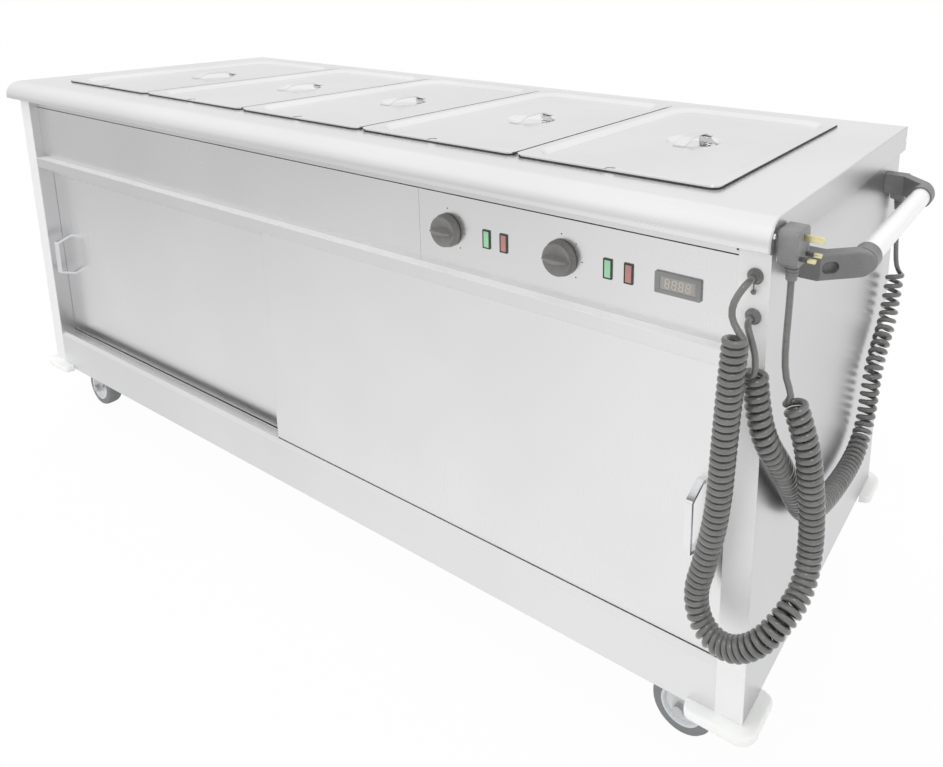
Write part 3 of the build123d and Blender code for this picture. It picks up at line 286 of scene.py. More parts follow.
# The ends are a darker copy of the shell's sheet, painted shade on their sides; the posts' front faces are
# painted lighter and duller, painted light.
end_steel_painted_shade_and_light = steel("end_sheet_painted_shade_and_light", (0.62, 0.62, 0.63), (0.68, 0.68, 0.69), "z", 0.34,
                  face=("Y", POST_Y + 0.0012, POST_Y + 0.0008, 0.93, 0.70, 0.5))
shell_steel = steel("shell_sheet", (0.76, 0.76, 0.76), (0.83, 0.83, 0.83), "x", 0.30)
dress(end_steel_painted_shade_and_light, "end_panel_right", "end_panel_left")
dress(shell_steel, "back_panel", "bottom_plate")

# Cupboard inside: deck, liners, ceiling and shelf of thinner, duller sheet, with wool above the
# ceiling, a sheathed heating rod on the deck and a slotted cover over it. The well's tank and the
# bars between the pans are of the same sheet.
liner_steel = steel("liner_sheet", (0.72, 0.72, 0.72), (0.80, 0.80, 0.80), "x", 0.34, metal=0.5)
dress(liner_steel, "cupboard_deck", "cupboard_liners", "shelf", "element_cover", "well_tank",
      "pan_support_bars")
wool = mottled("mineral_wool", (260, 6, (1, 1, 3)), (0.46, 0.40, 0.24), (0.68, 0.62, 0.42), None,
               (0.6, 0.002, 0.002), roughness=0.95)
dress(wool, "insulation")
sheath = mottled("heated_sheath", (18, 4), (0.14, 0.12, 0.11), (0.30, 0.27, 0.24), (0.4, 0.3), metallic=0.8)
dress(sheath, "heating_elements")

# Front frame: rail under the worktop, head and sill tracks, and a plinth, all folded sheet.
# They are brushed along their length. The head track's top ledge is painted lighter, as painted light
# from above.
HEAD_TOP_Z = 0.672
track_steel = steel("track_sheet", (0.78, 0.78, 0.78), (0.85, 0.85, 0.85), "x", 0.32)
# The head track's top ledge is painted lighter and duller: painted light falling on it from above.
head_steel_painted_light = steel("head_track_sheet_painted_light", (0.78, 0.78, 0.78), (0.85, 0.85, 0.85), "x", 0.32,
                   face=("Z", HEAD_TOP_Z - 0.0008, HEAD_TOP_Z - 0.0003, 0.96, 0.60, 0.85))
rail_steel = steel("rail_sheet", (0.72, 0.72, 0.72), (0.80, 0.80, 0.80), "x", 0.30)
dress(track_steel, "sill_track", "plinth")
dress(head_steel_painted_light, "head_track")
dress(rail_steel, "top_rail")

# Doors: sheet trays hung one behind the other, brushed upright, each with a bright D-shaped pull
# of flat bar whose ends turn in to the door on a slope.
door_steel = steel("door_sheet", (0.80, 0.80, 0.80), (0.86, 0.86, 0.86), "z", 0.26)
dress(door_steel, "door_right", "door_left")
chrome = mottled("bright_pull", (60, 3), (0.80, 0.81, 0.83), (0.90, 0.90, 0.91), (0.05, 0.08),
                 (0.02, 0.0002, 0.0006), metallic=1.0)
dress(chrome, "door_pull_right", "door_pull_left")

# Fascia: a blank panel and the control panel beside it, brushed along their length. Each knob
# has a few printed dots round it, and the lamps and the display clip into cut-outs.
FASCIA_Y = -0.300
CONTROL_Z = 0.733
KNOBS_X = {"wells": 0.374, "cupboard": 0.583}
DOT_RING = 0.034
DOT_R = 0.0011
fascia_steel = steel("fascia_sheet", (0.76, 0.76, 0.76), (0.82, 0.82, 0.82), "x", 0.26)
dress(fascia_steel, "fascia_panel", "control_panel")
ink = mottled("printed_ink", (500, 2), (0.10, 0.10, 0.10), (0.20, 0.20, 0.20), roughness=0.6)
for word, x in KNOBS_X.items():
    bm = bmesh.new()
    for angle in (radians(90), radians(45), 0.0, radians(-45)):
        spot = (x + DOT_RING * cos(angle), FASCIA_Y - 0.0001, CONTROL_Z + DOT_RING * sin(angle))
        bmesh.ops.create_cone(bm, cap_ends=True, segments=16, radius1=DOT_R, radius2=DOT_R, depth=0.0003,
                              matrix=Matrix.Translation(spot) @ Matrix.Rotation(pi / 2, 4, "X"))
    piece("dial_dots_" + word, bm, ink, "cabinet")


def moulded(name, dark, light, rough, grit=350.0, bump=0.08, soft=0.0006, **constants):
    """Moulded plastic with a fine spark-eroded texture."""
    material, shader, at = finish(name, **constants)
    grain = noise(at, grit, 4)
    cloud = noise(at, 25, 3)
    feed(shader, {
        "Base Color": (0.4 * grain + 0.6 * cloud).step(0.3, 0.7).tint(dark, light),
        "Roughness": rough - 0.08 + 0.16 * grain,
        "Normal": relief(at, grain, bump, 0.0003, soft),
    })
    return material


dress(moulded("thermostat_case", (0.05, 0.05, 0.05), (0.08, 0.08, 0.08), 0.5), "thermostats")
dress(moulded("grey_bezel", (0.22, 0.22, 0.225), (0.27, 0.27, 0.275), 0.35), "display_bezel")

# Lamps: a green and a red one beside each knob, each a ridged lens in a thin black frame that
# stands a little proud of the panel.
LAMP_W = 0.0136
LAMP_H = 0.0285
LAMP_PROUD = 0.0022
LAMP_EDGE = 0.0006
FRAME_W = 0.0017
FRAME_STEP = 0.0008
GLASS_GAP = 0.0003
LAMPS = (("green", (0.18, 0.46, 0.25), (0.36, 0.68, 0.42), (0.450, 0.658)),
         ("red", (0.30, 0.10, 0.09), (0.50, 0.23, 0.21), (0.482, 0.690)))


def box(bm, size, centre):
    """Adds a plain box."""
    bmesh.ops.create_cube(bm, size=1.0, matrix=Matrix.Translation(centre) @ Matrix.Diagonal((*size, 1)))


def block(size, centre, edge, segments=3):
    """Block with every edge rounded."""
    bm = bmesh.new()
    box(bm, size, centre)
    soften(bm, bm.edges[:], edge, segments)
    return bm


frame_black = moulded("black_bezel", (0.035, 0.04, 0.035), (0.06, 0.065, 0.06), 0.4)
glass_in = FRAME_W + GLASS_GAP
for tint, dark, light, places in LAMPS:
    glass, shader, at = finish(tint + "_lens", roughness=0.15, coat_weight=0.6)
    ridge = at.node("ShaderNodeTexWave", {"bands_direction": "Z"},
                    {"Vector": at.node("ShaderNodeTexCoord", out="Object"), "Scale": 140.0})
    feed(shader, {
        "Base Color": (0.6 + 0.4 * ridge).tint(dark, light),
        "Normal": relief(at, ridge, 0.15, 0.0003, 0.0004),
    })
    for n, x in enumerate(places):
        bm = block((LAMP_W, 2 * LAMP_PROUD, LAMP_H), (x, FASCIA_Y, CONTROL_Z), LAMP_EDGE)
        front = min(bm.faces, key=lambda f: f.calc_center_median().y)
        bmesh.ops.inset_region(bm, faces=[front], thickness=FRAME_W - LAMP_EDGE)
        bmesh.ops.inset_region(bm, faces=[front], thickness=0.0002, depth=-FRAME_STEP)
        name = "lamp_frame_%s_%d" % (tint, n + 1)
        piece(name, bm, frame_black, "cabinet", 30)
        bm = block((LAMP_W - 2 * glass_in, LAMP_PROUD, LAMP_H - 2 * glass_in),
                   (x, FASCIA_Y - LAMP_PROUD / 2, CONTROL_Z), 0.0007)
        piece("lamp_lens_%s_%d" % (tint, n + 1), bm, glass, "cabinet", 30)
    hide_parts("lamp_lenses_" + tint)
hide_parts("lamp_bezels")

# Display: a smoked window with the unlit bars of four digits behind it, each digit leaning a
# little to the right.
DISPLAY_X = 0.762
DIGIT_PITCH = 0.0098
DIGIT_W = 0.0055
DIGIT_H = 0.0115
DIGIT_LEAN = 0.08
BAR_W = 0.0013
BAR_T = 0.0002
BAR_GAP = 0.001
window = mottled("smoked_window", (120, 3), (0.30, 0.28, 0.26), (0.38, 0.355, 0.335), roughness=0.12,
                 coat_weight=0.5)
dress(window, "display_window")
unlit = mottled("unlit_bars", (300, 2), (0.52, 0.49, 0.45), (0.62, 0.59, 0.54), roughness=0.3)
bm = bmesh.new()
for digit in range(4):
    x = DISPLAY_X + (digit - 1.5) * DIGIT_PITCH
    flat = (DIGIT_W - BAR_GAP, BAR_T, BAR_W)
    upright = (BAR_W, BAR_T, DIGIT_H / 2 - BAR_GAP)
    bars = [(0, level * DIGIT_H / 2, flat) for level in (-1, 0, 1)]
    bars += [(sx * DIGIT_W / 2, sz * DIGIT_H / 4, upright) for sx in (-1, 1) for sz in (-1, 1)]
    for dx, dz, size in bars:
        box(bm, size, (x + dx + DIGIT_LEAN * dz, FASCIA_Y - 0.0025, CONTROL_Z + dz))
piece("display_bars", bm, unlit, "cabinet")

# Knobs: moulded grey discs with a dished face and a boat-shaped grip, and a white pointer line
# at nine o'clock. Each is pushed on its thermostat's shaft.
DIAL = [(0.0, 0.0), (0.0255, 0.0), (0.0260, 0.0008), (0.0260, 0.0040), (0.0252, 0.0052), (0.0246, 0.0056),
        (0.0238, 0.0120), (0.0230, 0.0134), (0.0218, 0.0138), (0.0170, 0.0124), (0.0, 0.0115)]
GRIP = (0.043, 0.012, 0.015)
GRIP_TAPER = 0.72
GRIP_CREST = 0.42
GRIP_SAG = 0.0055
TICK = (0.0030, 0.0095, 0.0018)
knob_grey = moulded("knob_grey", (0.16, 0.157, 0.15), (0.225, 0.22, 0.21), 0.42)
pointer = mottled("white_pointer", (400, 2), (0.80, 0.80, 0.80), (0.90, 0.90, 0.90), roughness=0.5)
for word, x in KNOBS_X.items():
    grip = bmesh.new()
    box(grip, GRIP, (0, 0, 0))
    bmesh.ops.subdivide_edges(grip, edges=[e for e in grip.edges if run(e, "x") > 0.01], cuts=11,
                              use_grid_fill=True)
    for v in grip.verts:
        reach = abs(v.co.x) / (GRIP[0] / 2)
        v.co.z *= 1 - GRIP_TAPER * reach ** 2
        if v.co.y < 0:
            v.co.z *= GRIP_CREST
            v.co.y += GRIP_SAG * reach ** 2
    crest = [e for e in grip.edges if run(e, "x") > 0.001 and all(v.co.y < 0.003 for v in e.verts)]
    soften(grip, crest, 0.0012, 3)
    bmesh.ops.translate(grip, verts=grip.verts, vec=(x, FASCIA_Y - 0.0176, CONTROL_Z))
    piece("knob_grip_" + word, grip, knob_grey, word + "_knob", 50)
    bm = turned(DIAL, (x, FASCIA_Y - 0.0006, CONTROL_Z), (0, -1, 0), 64)
    body = piece("knob_dial_" + word, bm, knob_grey, word + "_knob", 50)
    bm = block(TICK, (x - 0.0245, FASCIA_Y - 0.0098, CONTROL_Z), 0.0003, 2)
    piece("knob_tick_" + word, bm, pointer, word + "_knob")
    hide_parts("knob_" + word)

# Worktop: one pressed sheet with a rolled front, folded rear and plated ends, lightly brushed
# along its length. Dome-headed screws hold its end plates near their corners. The right end is
# painted darker as painted shade.
SCREW = [(0.0, 0.0), (0.0036, 0.0), (0.0034, 0.0008), (0.0024, 0.0016), (0.0009, 0.0019), (0.0, 0.0019)]
SCREWS_YZ = ((-0.331, 0.832), (0.325, 0.829))
# Beyond x 0.89 the worktop sheet is painted darker: painted shade on the worktop's right end, and on any of
# the plug clips that lies beyond it.
top_steel_shaded_end = steel("worktop_sheet_painted_shade_end", (0.84, 0.84, 0.84), (0.89, 0.89, 0.89), "x", 0.27, 0.03, brush=0.001,
                  face=("X", 0.8900, 0.8915, 0.66, 0.34, 0.0))
dress(top_steel_shaded_end, "worktop", "plug_clips")
for word, way, x in (("right", 1, 0.893), ("left", -1, -0.959)):
    for n, (y, z) in enumerate(SCREWS_YZ):
        bm = turned(SCREW, (x, y, z), (way, 0, 0), 20)
        piece("end_screw_%s_%d" % (word, n + 1), bm, chrome, "cabinet")

# Pans: deep-drawn trays of one standard size, bright inside, hung by their hemmed rims. A thin
# black strip lies on the worktop round each rim, under the edge of the lid: a painted shadow, the
# shade under the lid's edge.
WELLS_X = [(i - 2) * 0.330 - 0.033 for i in range(5)]
WELLS_Y = 0.012
TOP_Z = 0.850
# Size of the black strip that stands in for the shadow under each lid's edge: a painted shadow.
SHADOW_STRIP_W = 0.3214
SHADOW_STRIP_D = 0.5264
SHADOW_STRIP_H = 0.0018
PRESS_CORNER = 0.014
pan_steel = steel("pan_sheet", (0.74, 0.74, 0.74), (0.81, 0.81, 0.81), "y", 0.24)
dress(pan_steel, *["pan_%d" % (i + 1) for i in range(5)])
# Near-black finish of the strip: painted shadow under each lid's edge.
painted_shadow_strip = moulded("painted_shadow_strip", (0.030, 0.030, 0.030), (0.050, 0.050, 0.050), 0.6)


def outline(bm, width, depth, corner, z):
    """Loop of edges round a rectangle with rounded corners."""
    place = Matrix.Translation((0, 0, z)) @ Matrix.Diagonal((width, depth, 1, 1))
    sheet = bmesh.ops.create_grid(bm, x_segments=1, y_segments=1, size=0.5, matrix=place)
    made = soften(bm, sheet["verts"], corner, 7, "VERTICES")
    face = next(f for f in bm.faces if f.is_valid and set(made["verts"]) & set(f.verts))
    edges = face.edges[:]
    bmesh.ops.delete(bm, geom=[face], context="FACES_ONLY")
    return edges


# Each pan gets its painted shadow strip on the worktop round its rim.
for i, x in enumerate(WELLS_X):
    bm = bmesh.new()
    rings = [outline(bm, SHADOW_STRIP_W + out, SHADOW_STRIP_D + out, PRESS_CORNER + out / 2, TOP_Z + z) for out, z in (
        (0.0, 0.0), (0.0, SHADOW_STRIP_H), (0.0012, SHADOW_STRIP_H - 0.0001), (0.0020, 0.0001))]
    for a, b in zip(rings, rings[1:] + rings[:1]):
        bmesh.ops.bridge_loops(bm, edges=a + b)
    bmesh.ops.recalc_face_normals(bm, faces=bm.faces)
    bmesh.ops.translate(bm, verts=bm.verts, vec=(x, WELLS_Y, 0))
    piece("pan_seal_%d" % (i + 1), bm, painted_shadow_strip, "cabinet", 30)

# Lids: pressed sheet with a flat rim, a sunk field with rounded corners, a round dish bridged
# by a bent strap to lift it by, and a notch for a ladle in the middle of the front edge.
LID_W = 0.3250
LID_D = 0.5300
LID_T = 0.0008
RIM_Z = 0.855
FIELD_W = 0.293
FIELD_D = 0.498
FIELD_CORNER = 0.045
FIELD_Z = 0.848
NOTCH_R = 0.007
NOTCH_Y = -0.259
NOTCH_END_Y = -0.280
STRAP = ((-0.054, 0.8499), (-0.046, 0.8499), (-0.026, 0.8579), (0.026, 0.8579), (0.046, 0.8499),
         (0.054, 0.8499))
STRAP_W = 0.020
STRAP_T = 0.0018
STRAP_BEND = 0.006
lid_steel = steel("lid_sheet", (0.82, 0.82, 0.82), (0.90, 0.90, 0.90), "y", 0.16, 0.08, 0.0008, 0.01)
strap_steel = steel("strap_sheet", (0.80, 0.80, 0.80), (0.88, 0.88, 0.88), "y", 0.22)


def circle(bm, radius, z):
    """Loop of edges round a circle, with as many corners as an outline."""
    made = bmesh.ops.create_circle(bm, segments=32, radius=radius,
                                   matrix=Matrix.Translation((0, 0, z)) @ Matrix.Rotation(pi / 32, 4, "Z"))
    return list({e for v in made["verts"] for e in v.link_edges})


def plain(name, bm):
    """Turns a bmesh into an object that is no piece: a blank, a punch or a stage."""
    mesh = bpy.data.meshes.new(name)
    bm.to_mesh(mesh)
    bm.free()
    made = bpy.data.objects.new(name, mesh)
    bpy.context.scene.collection.objects.link(made)
    return made


bm = bmesh.new()
loops = [outline(bm, LID_W, LID_D, PRESS_CORNER, RIM_Z - drop) for drop in (LID_T, 0.0)]
loops += [outline(bm, FIELD_W - inset, FIELD_D - inset, FIELD_CORNER - inset / 2, RIM_Z - drop)
          for inset, drop in (
              (-0.0040, 0.00002), (-0.0020, 0.00005), (-0.0004, 0.0003), (0.0012, 0.0010),
              (0.0144, 0.0060), (0.0160, 0.0067), (0.0178, 0.00693), (0.0198, 0.00697))]
loops += [circle(bm, radius, FIELD_Z - drop) for radius, drop in (
    (0.0480, 0.00002), (0.0462, 0.00005), (0.0452, 0.0003), (0.0442, 0.0010),
    (0.0388, 0.0070), (0.0380, 0.0077), (0.0368, 0.00795), (0.0350, 0.0080))]
for a, b in zip(loops, loops[1:]):
    bmesh.ops.bridge_loops(bm, edges=a + b)
bmesh.ops.edgeloop_fill(bm, edges=loops[-1])
bmesh.ops.recalc_face_normals(bm, faces=bm.faces)
if sum(f.normal.z * f.calc_area() for f in bm.faces) < 0:
    bmesh.ops.reverse_faces(bm, faces=bm.faces)
blank = plain("lid_blank", bm)
bm = bmesh.new()
bmesh.ops.create_cone(bm, cap_ends=True, segments=40, radius1=NOTCH_R, radius2=NOTCH_R, depth=0.04,
                      matrix=Matrix.Translation((0, NOTCH_Y, RIM_Z)))
for v in bm.verts:
    if v.co.y < NOTCH_Y - 0.0001:
        v.co.y = NOTCH_END_Y
punch = plain("ladle_punch", bm)
wall = blank.modifiers.new("wall", "SOLIDIFY")
wall.thickness = LID_T
wall.offset = -1.0
cut = blank.modifiers.new("notch", "BOOLEAN")
cut.operation = "DIFFERENCE"
cut.solver = "EXACT"
cut.object = punch
bpy.context.view_layer.update()
lid_mesh = bpy.data.meshes.new_from_object(blank.evaluated_get(bpy.context.evaluated_depsgraph_get()))
bpy.data.objects.remove(blank)
bpy.data.objects.remove(punch)
for i, x in enumerate(WELLS_X):
    place = (x, WELLS_Y, 0)
    cover = "lid_%d_cover" % (i + 1)
    bm = bmesh.new()
    bm.from_mesh(lid_mesh)
    bmesh.ops.translate(bm, verts=bm.verts, vec=place)
    lid = piece("lid_pressing_%d" % (i + 1), bm, lid_steel, cover, 35)
    bm = bmesh.new()
    line = [bm.verts.new((-STRAP_W / 2, y, z)) for y, z in STRAP]
    edges = [bm.edges.new(pair) for pair in zip(line, line[1:])]
    carry(bm, bmesh.ops.extrude_edge_only(bm, edges=edges), (STRAP_W, 0, 0))
    soften(bm, [e for e in bm.edges if len(e.link_faces) == 2], STRAP_BEND, 4)
    bmesh.ops.recalc_face_normals(bm, faces=bm.faces)
    if sum(f.normal.z for f in bm.faces) < 0:
        bmesh.ops.reverse_faces(bm, faces=bm.faces)
    bmesh.ops.solidify(bm, geom=bm.faces[:], thickness=STRAP_T)
    bmesh.ops.translate(bm, verts=bm.verts, vec=place)
    piece("lid_strap_%d" % (i + 1), bm, strap_steel, cover, 40)
    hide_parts("lid_%d" % (i + 1))

# Push handle: two grey moulded arms screwed to the end panel, with a white enamelled tube between
# them to push by.
arm_grey = moulded("arm_grey", (0.155, 0.155, 0.157), (0.205, 0.205, 0.207), 0.38, 420, 0.06, 0.0015)
dress(arm_grey, "handle_arms")
tube_white = mottled("white_tube_enamel", (35, 4), (0.91, 0.91, 0.92), (0.95, 0.95, 0.96), (0.24, 0.12),
                     coat_weight=0.3)
dress(tube_white, "handle_grip")

# Cord glands: grey nylon nuts with a domed nose, screwed through the right-hand front post. A
# small cap hangs on a tether under the upper one.
GLANDS = ((0.869, -0.318, 0.776), (0.869, -0.318, 0.726))
NUT = [(0.0, 0.0), (0.0100, 0.0), (0.0100, 0.0018), (0.0094, 0.0030), (0.0080, 0.0036), (0.0072, 0.0052),
       (0.0068, 0.0080), (0.0060, 0.0090), (0.0, 0.0090)]
CAP = [(0.0, 0.0), (0.0022, -0.0006), (0.0034, -0.0024), (0.0034, -0.0040), (0.0022, -0.0058), (0.0, -0.0064)]
TETHER = [(0.0, 0.0), (0.0009, 0.0), (0.0009, -0.0062), (0.0, -0.0062)]
cord_grey = moulded("cord_grey", (0.115, 0.114, 0.110), (0.165, 0.164, 0.160), 0.30, 220, 0.05, 0.0008,
                    coat_weight=0.9)
nuts = [piece("gland_nut_%d" % (n + 1), turned(NUT, spot, (0, -1, 0), 24), cord_grey, "cabinet")
        for n, spot in enumerate(GLANDS)]
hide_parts("cord_glands")
x, y, z = GLANDS[0]
for name, profile, drop, steps in (("gland_seal", CAP, 0.0150, 20), ("gland_tether", TETHER, 0.0092, 12)):
    bm = turned(profile, (x, y - 0.0045, z - drop), (0, 0, 1), steps)
    piece(name, bm, cord_grey, "cabinet")

# Supply cords: grey flexible leads wound in a tight curl, hanging from the glands in long loops
# and up to the plugs parked on the end. Each is one wire: lead, curls and tail.
WIRE_R = 0.0042
CURL_R = 0.0122
CURL_POINTS = 14


def thread(curve, points):
    """Gives a curve one smooth line that follows the points."""
    curve.dimensions = "3D"
    line = curve.splines.new("NURBS")
    line.points.add(len(points) - 1)
    for held, spot in zip(line.points, points):
        held.co = (*spot, 1)
    line.order_u = 3
    line.use_endpoint_u = True


def curly_cord(name, route, turns, phase, pull, lead, tail):
    """One wire that leaves along its lead, winds round the smooth route and ends along its tail. A
    pull opens the curls towards the far end."""
    guide = bpy.data.curves.new(name + "_guide", "CURVE")
    guide.resolution_u = 40
    thread(guide, route)
    carrier = bpy.data.objects.new(name + "_guide", guide)
    line = [v.co.copy() for v in bpy.data.meshes.new_from_object(carrier).vertices]
    bpy.data.objects.remove(carrier)
    reach = [0.0]
    for a, b in zip(line, line[1:]):
        reach.append(reach[-1] + (b - a).length)
    count = turns * CURL_POINTS
    normal = Vector((1, 0, 0))
    wound = []
    k = 0
    for i in range(count + 1):
        part = i / count
        s = reach[-1] * (part + pull * (part ** 4 - part))
        while k < len(line) - 2 and reach[k + 1] < s:
            k += 1
        along = (line[k + 1] - line[k]).normalized()
        spot = line[k] + along * (s - reach[k])
        normal = (normal - along * normal.dot(along)).normalized()
        angle = radians(phase) + 2 * pi * i / CURL_POINTS
        wound.append(spot + CURL_R * (normal * cos(angle) + along.cross(normal) * sin(angle)))
    wire = bpy.data.curves.new(name, "CURVE")
    wire.bevel_depth = WIRE_R
    wire.bevel_resolution = 3
    wire.resolution_u = 2
    wire.use_fill_caps = True
    thread(wire, [Vector(p) for p in lead] + wound + [Vector(p) for p in tail])
    wire.materials.append(cord_grey)
    made = bpy.data.objects.new(name, wire)
    bpy.context.scene.collection.objects.link(made)
    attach(made, "cabinet")
    return made


route_1 = [
    (0.870, -0.372, 0.720), (0.865, -0.370, 0.648), (0.860, -0.366, 0.566), (0.854, -0.359, 0.482),
    (0.839, -0.354, 0.405), (0.826, -0.354, 0.352), (0.840, -0.357, 0.311), (0.876, -0.364, 0.301),
    (0.915, -0.368, 0.330), (0.940, -0.348, 0.366), (0.949, -0.308, 0.384), (0.949, -0.290, 0.420),
    (0.949, -0.292, 0.470), (0.947, -0.302, 0.525), (0.941, -0.312, 0.585), (0.923, -0.312, 0.628),
]
route_2 = [
    (0.882, -0.337, 0.668), (0.887, -0.339, 0.628), (0.899, -0.338, 0.584), (0.910, -0.306, 0.538),
    (0.909, -0.250, 0.468), (0.909, -0.198, 0.405), (0.909, -0.123, 0.366), (0.909, -0.046, 0.346),
    (0.909, 0.032, 0.335), (0.909, 0.094, 0.337), (0.909, 0.136, 0.362), (0.909, 0.152, 0.410),
    (0.909, 0.164, 0.455), (0.909, 0.197, 0.487), (0.909, 0.237, 0.514), (0.909, 0.256, 0.552),
    (0.909, 0.270, 0.598),
]
lead_1 = [(0.869, -0.327, 0.776), (0.869, -0.338, 0.776), (0.866, -0.350, 0.770), (0.858, -0.354, 0.754),
          (0.857, -0.358, 0.738), (0.868, -0.362, 0.724)]
tail_1 = [(0.922, -0.318, 0.640), (0.913, -0.320, 0.660), (0.910, -0.320, 0.690), (0.909, -0.314, 0.730),
          (0.907, -0.306, 0.755), (0.907, -0.306, 0.776)]
lead_2 = [(0.869, -0.327, 0.726), (0.869, -0.338, 0.726), (0.876, -0.348, 0.720), (0.883, -0.350, 0.704),
          (0.886, -0.349, 0.690)]
tail_2 = [(0.909, 0.272, 0.610), (0.905, 0.278, 0.632), (0.903, 0.280, 0.660), (0.901, 0.282, 0.690),
          (0.901, 0.282, 0.711)]
cord_1 = curly_cord("curly_cord_1", route_1, 85, 0.0, 0.0, lead_1, tail_1)
cord_2 = curly_cord("curly_cord_2", route_2, 80, 70.0, 0.15, lead_2, tail_2)
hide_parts("cord_1")
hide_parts("cord_2")

# Plugs: grey moulded three-pin plugs with a ribbed neck, parked on a clip on the end. The pins
# are brass, and the two lower ones are sleeved with grey plastic for half their length.
PLUG = (0.024, 0.044, 0.044)
PLUGS = ((0.907, -0.306, 0.818), (0.901, 0.282, 0.753))
EARTH_PIN = (0.0227, 0.004, 0.008)
LINE_PIN = (0.0090, 0.0064, 0.004)
SLEEVE = (0.0088, 0.0064, 0.004)
PIN_OFF = 0.0111
plug_grey = moulded("plug_grey", (0.19, 0.19, 0.192), (0.25, 0.25, 0.252), 0.36, 420, 0.06, 0.0015)
sleeve_grey = moulded("sleeve_grey", (0.06, 0.06, 0.06), (0.09, 0.09, 0.09), 0.45)
brass = mottled("pin_brass", (160, 4), (0.72, 0.66, 0.34), (0.86, 0.80, 0.50), (0.22, 0.2),
                (0.05, 0.0002, 0.0006), metallic=1.0)
ribs = [(0.0, 0.0), (0.0092, 0.0), (0.0090, -0.003)]
for k in range(4):
    h = -0.0038 - 0.004 * k
    r = 0.0082 - 0.0005 * k
    ribs += [(0.0068, h), (0.0068, h - 0.0014), (r, h - 0.0018), (r, h - 0.0034)]
ribs += [(0.0062, -0.0200), (0.0, -0.0200)]
on_cord = ([], [])
for n, (x, y, z) in enumerate(PLUGS):
    bm = bmesh.new()
    box(bm, PLUG, (x, y, z))
    along = [e for e in bm.edges if run(e, "x") > 0.01]
    low = [e for e in along if e.verts[0].co.z < z]
    high = [e for e in along if e.verts[0].co.z > z]
    soften(bm, low, 0.012, 2)
    soften(bm, high, 0.008, 5)
    soften(bm, [e for e in bm.edges if run(e, "x") < 1e-6], 0.002, 3)
    body = piece("plug_body_%d" % (n + 1), bm, plug_grey, "cabinet", 40)
    bm = turned(ribs, (x, y, z - PLUG[2] / 2), (0, 0, 1), 32)
    neck = piece("plug_neck_%d" % (n + 1), bm, plug_grey, "cabinet", 40)
    front = x + PLUG[0] / 2
    bm = block(EARTH_PIN, (front + EARTH_PIN[0] / 2, y, z + PIN_OFF), 0.0006)
    pins = [piece("plug_earth_pin_%d" % (n + 1), bm, brass, "cabinet")]
    for word, way in (("front", -1), ("rear", 1)):
        pin_y = y + way * PIN_OFF
        bm = block(LINE_PIN, (front + 0.0132, pin_y, z - PIN_OFF), 0.0005)
        pins.append(piece("plug_pin_%s_%d" % (word, n + 1), bm, brass, "cabinet"))
        bm = block(SLEEVE, (front + SLEEVE[0] / 2, pin_y, z - PIN_OFF), 0.0005)
        pins.append(piece("plug_sleeve_%s_%d" % (word, n + 1), bm, sleeve_grey, "cabinet"))
    on_cord[n].extend([body, neck] + pins)
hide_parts("plugs")

# Studio: a wide white floor under a white sky, greyer near the horizon, with a large soft lamp
# overhead, one in front and a smaller one that leaves highlights on gloss. Metal sees the floor
# darker to the left.
WHITE = (1, 1, 1)
LIGHTS = (("overhead", (-0.3, -0.4, 3.0), (0, 0, 0.5), 3.0, 10.0, False),
          ("front_fill", (-1.6, -3.0, 1.8), (0, 0, 0.5), 2.2, 10.0, False),
          ("highlight", (1.2, -1.6, 3.4), (0.6, 0, 0.6), 0.4, 10.0, True))
bm = bmesh.new()
bmesh.ops.create_grid(bm, x_segments=1, y_segments=1, size=15.0)
floor = plain("floor", bm)
pale, shader, at = finish("pale_floor", base_color=(0.9, 0.9, 0.9, 1), roughness=0.9)
camera_ray, glossy, through = [at.node("ShaderNodeLightPath", out=o) for o in (
    "Is Camera Ray", "Is Glossy Ray", "Is Transmission Ray")]
place = at.node("ShaderNodeTexCoord", out="Object")
across = at.node("ShaderNodeSeparateXYZ", (), {0: place}, "X").step(-4.0, 1.5)
shown = camera_ray.tint(across.tint((0.60, 0.60, 0.60), WHITE), WHITE)
glow = at.node("ShaderNodeEmission", (), {"Color": shown, "Strength": 1.0})
share = at.math("MINIMUM", camera_ray * 0.96 + (glossy + through) * 0.9, 0.96)
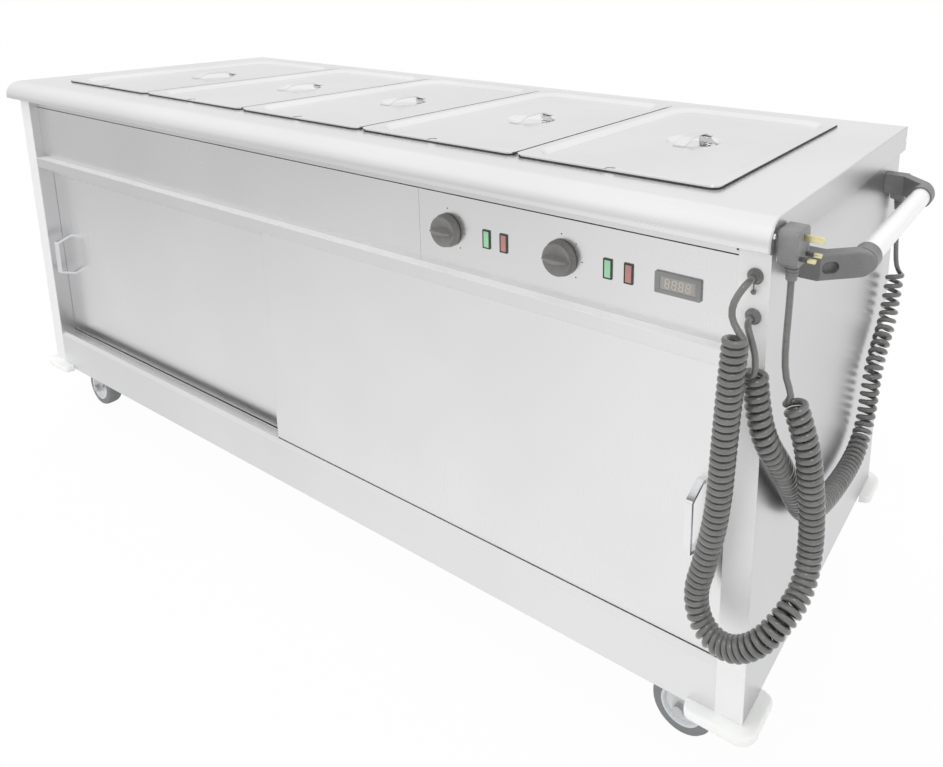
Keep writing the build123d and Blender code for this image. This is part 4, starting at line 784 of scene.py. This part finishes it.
white = at.node("ShaderNodeMixShader", (), {0: share, 1: Tone(at.tree, shader.outputs[0]), 2: glow})
at.tree.links.new(white.socket, at.tree.nodes["Material Output"].inputs[0])
floor.data.materials.append(pale)
world = bpy.data.worlds.new("white_sky")
bpy.context.scene.world = world
world.use_nodes = True
sky = Tone(world.node_tree)
place = sky.node("ShaderNodeTexCoord", out="Generated")
up = sky.node("ShaderNodeSeparateXYZ", (), {0: place}, "Z").step(0.0, 0.6)
camera_ray = sky.node("ShaderNodeLightPath", out="Is Camera Ray")
shown = camera_ray.tint(up.tint((0.80, 0.80, 0.80), WHITE), WHITE)
feed(world.node_tree.nodes["Background"], {"Color": shown})
for name, spot, aim, size, power, shows in LIGHTS:
    lamp = bpy.data.lights.new(name, "AREA")
    lamp.size = size
    lamp.energy = power
    holder = bpy.data.objects.new(name, lamp)
    holder.location = spot
    holder.visible_glossy = shows
    holder.rotation_euler = (Vector(aim) - Vector(spot)).to_track_quat("-Z", "Y").to_euler()
    bpy.context.scene.collection.objects.link(holder)
bpy.context.scene.view_settings.view_transform = "Standard"

# Camera: at the photograph's place, turn, tilt and roll. The focal length and the point that the
# lens looks at are in the photograph's pixels.
PHOTO_W = 943
PHOTO_H = 767
FOCAL = 802.18
AIM_X = 590.0
AIM_Y = 150.0
STAND = (1.1792, -1.1552, 1.1209)
TURN = 32.81
TILT = 12.78
ROLL = 0.59
lens = bpy.data.cameras.new("camera")
lens.sensor_fit = "HORIZONTAL"
lens.sensor_width = 36.0
lens.lens = FOCAL * 36.0 / PHOTO_W
lens.shift_x = (PHOTO_W / 2 - AIM_X) / PHOTO_W
lens.shift_y = (AIM_Y - PHOTO_H / 2) / PHOTO_W
camera = bpy.data.objects.new("camera", lens)
camera.matrix_world = (Matrix.Translation(STAND) @ Matrix.Rotation(radians(TURN), 4, "Z")
                       @ Matrix.Rotation(radians(90 - TILT), 4, "X") @ Matrix.Rotation(radians(ROLL), 4, "Z"))
bpy.context.scene.collection.objects.link(camera)
bpy.context.scene.camera = camera

bpy.context.view_layer.update()
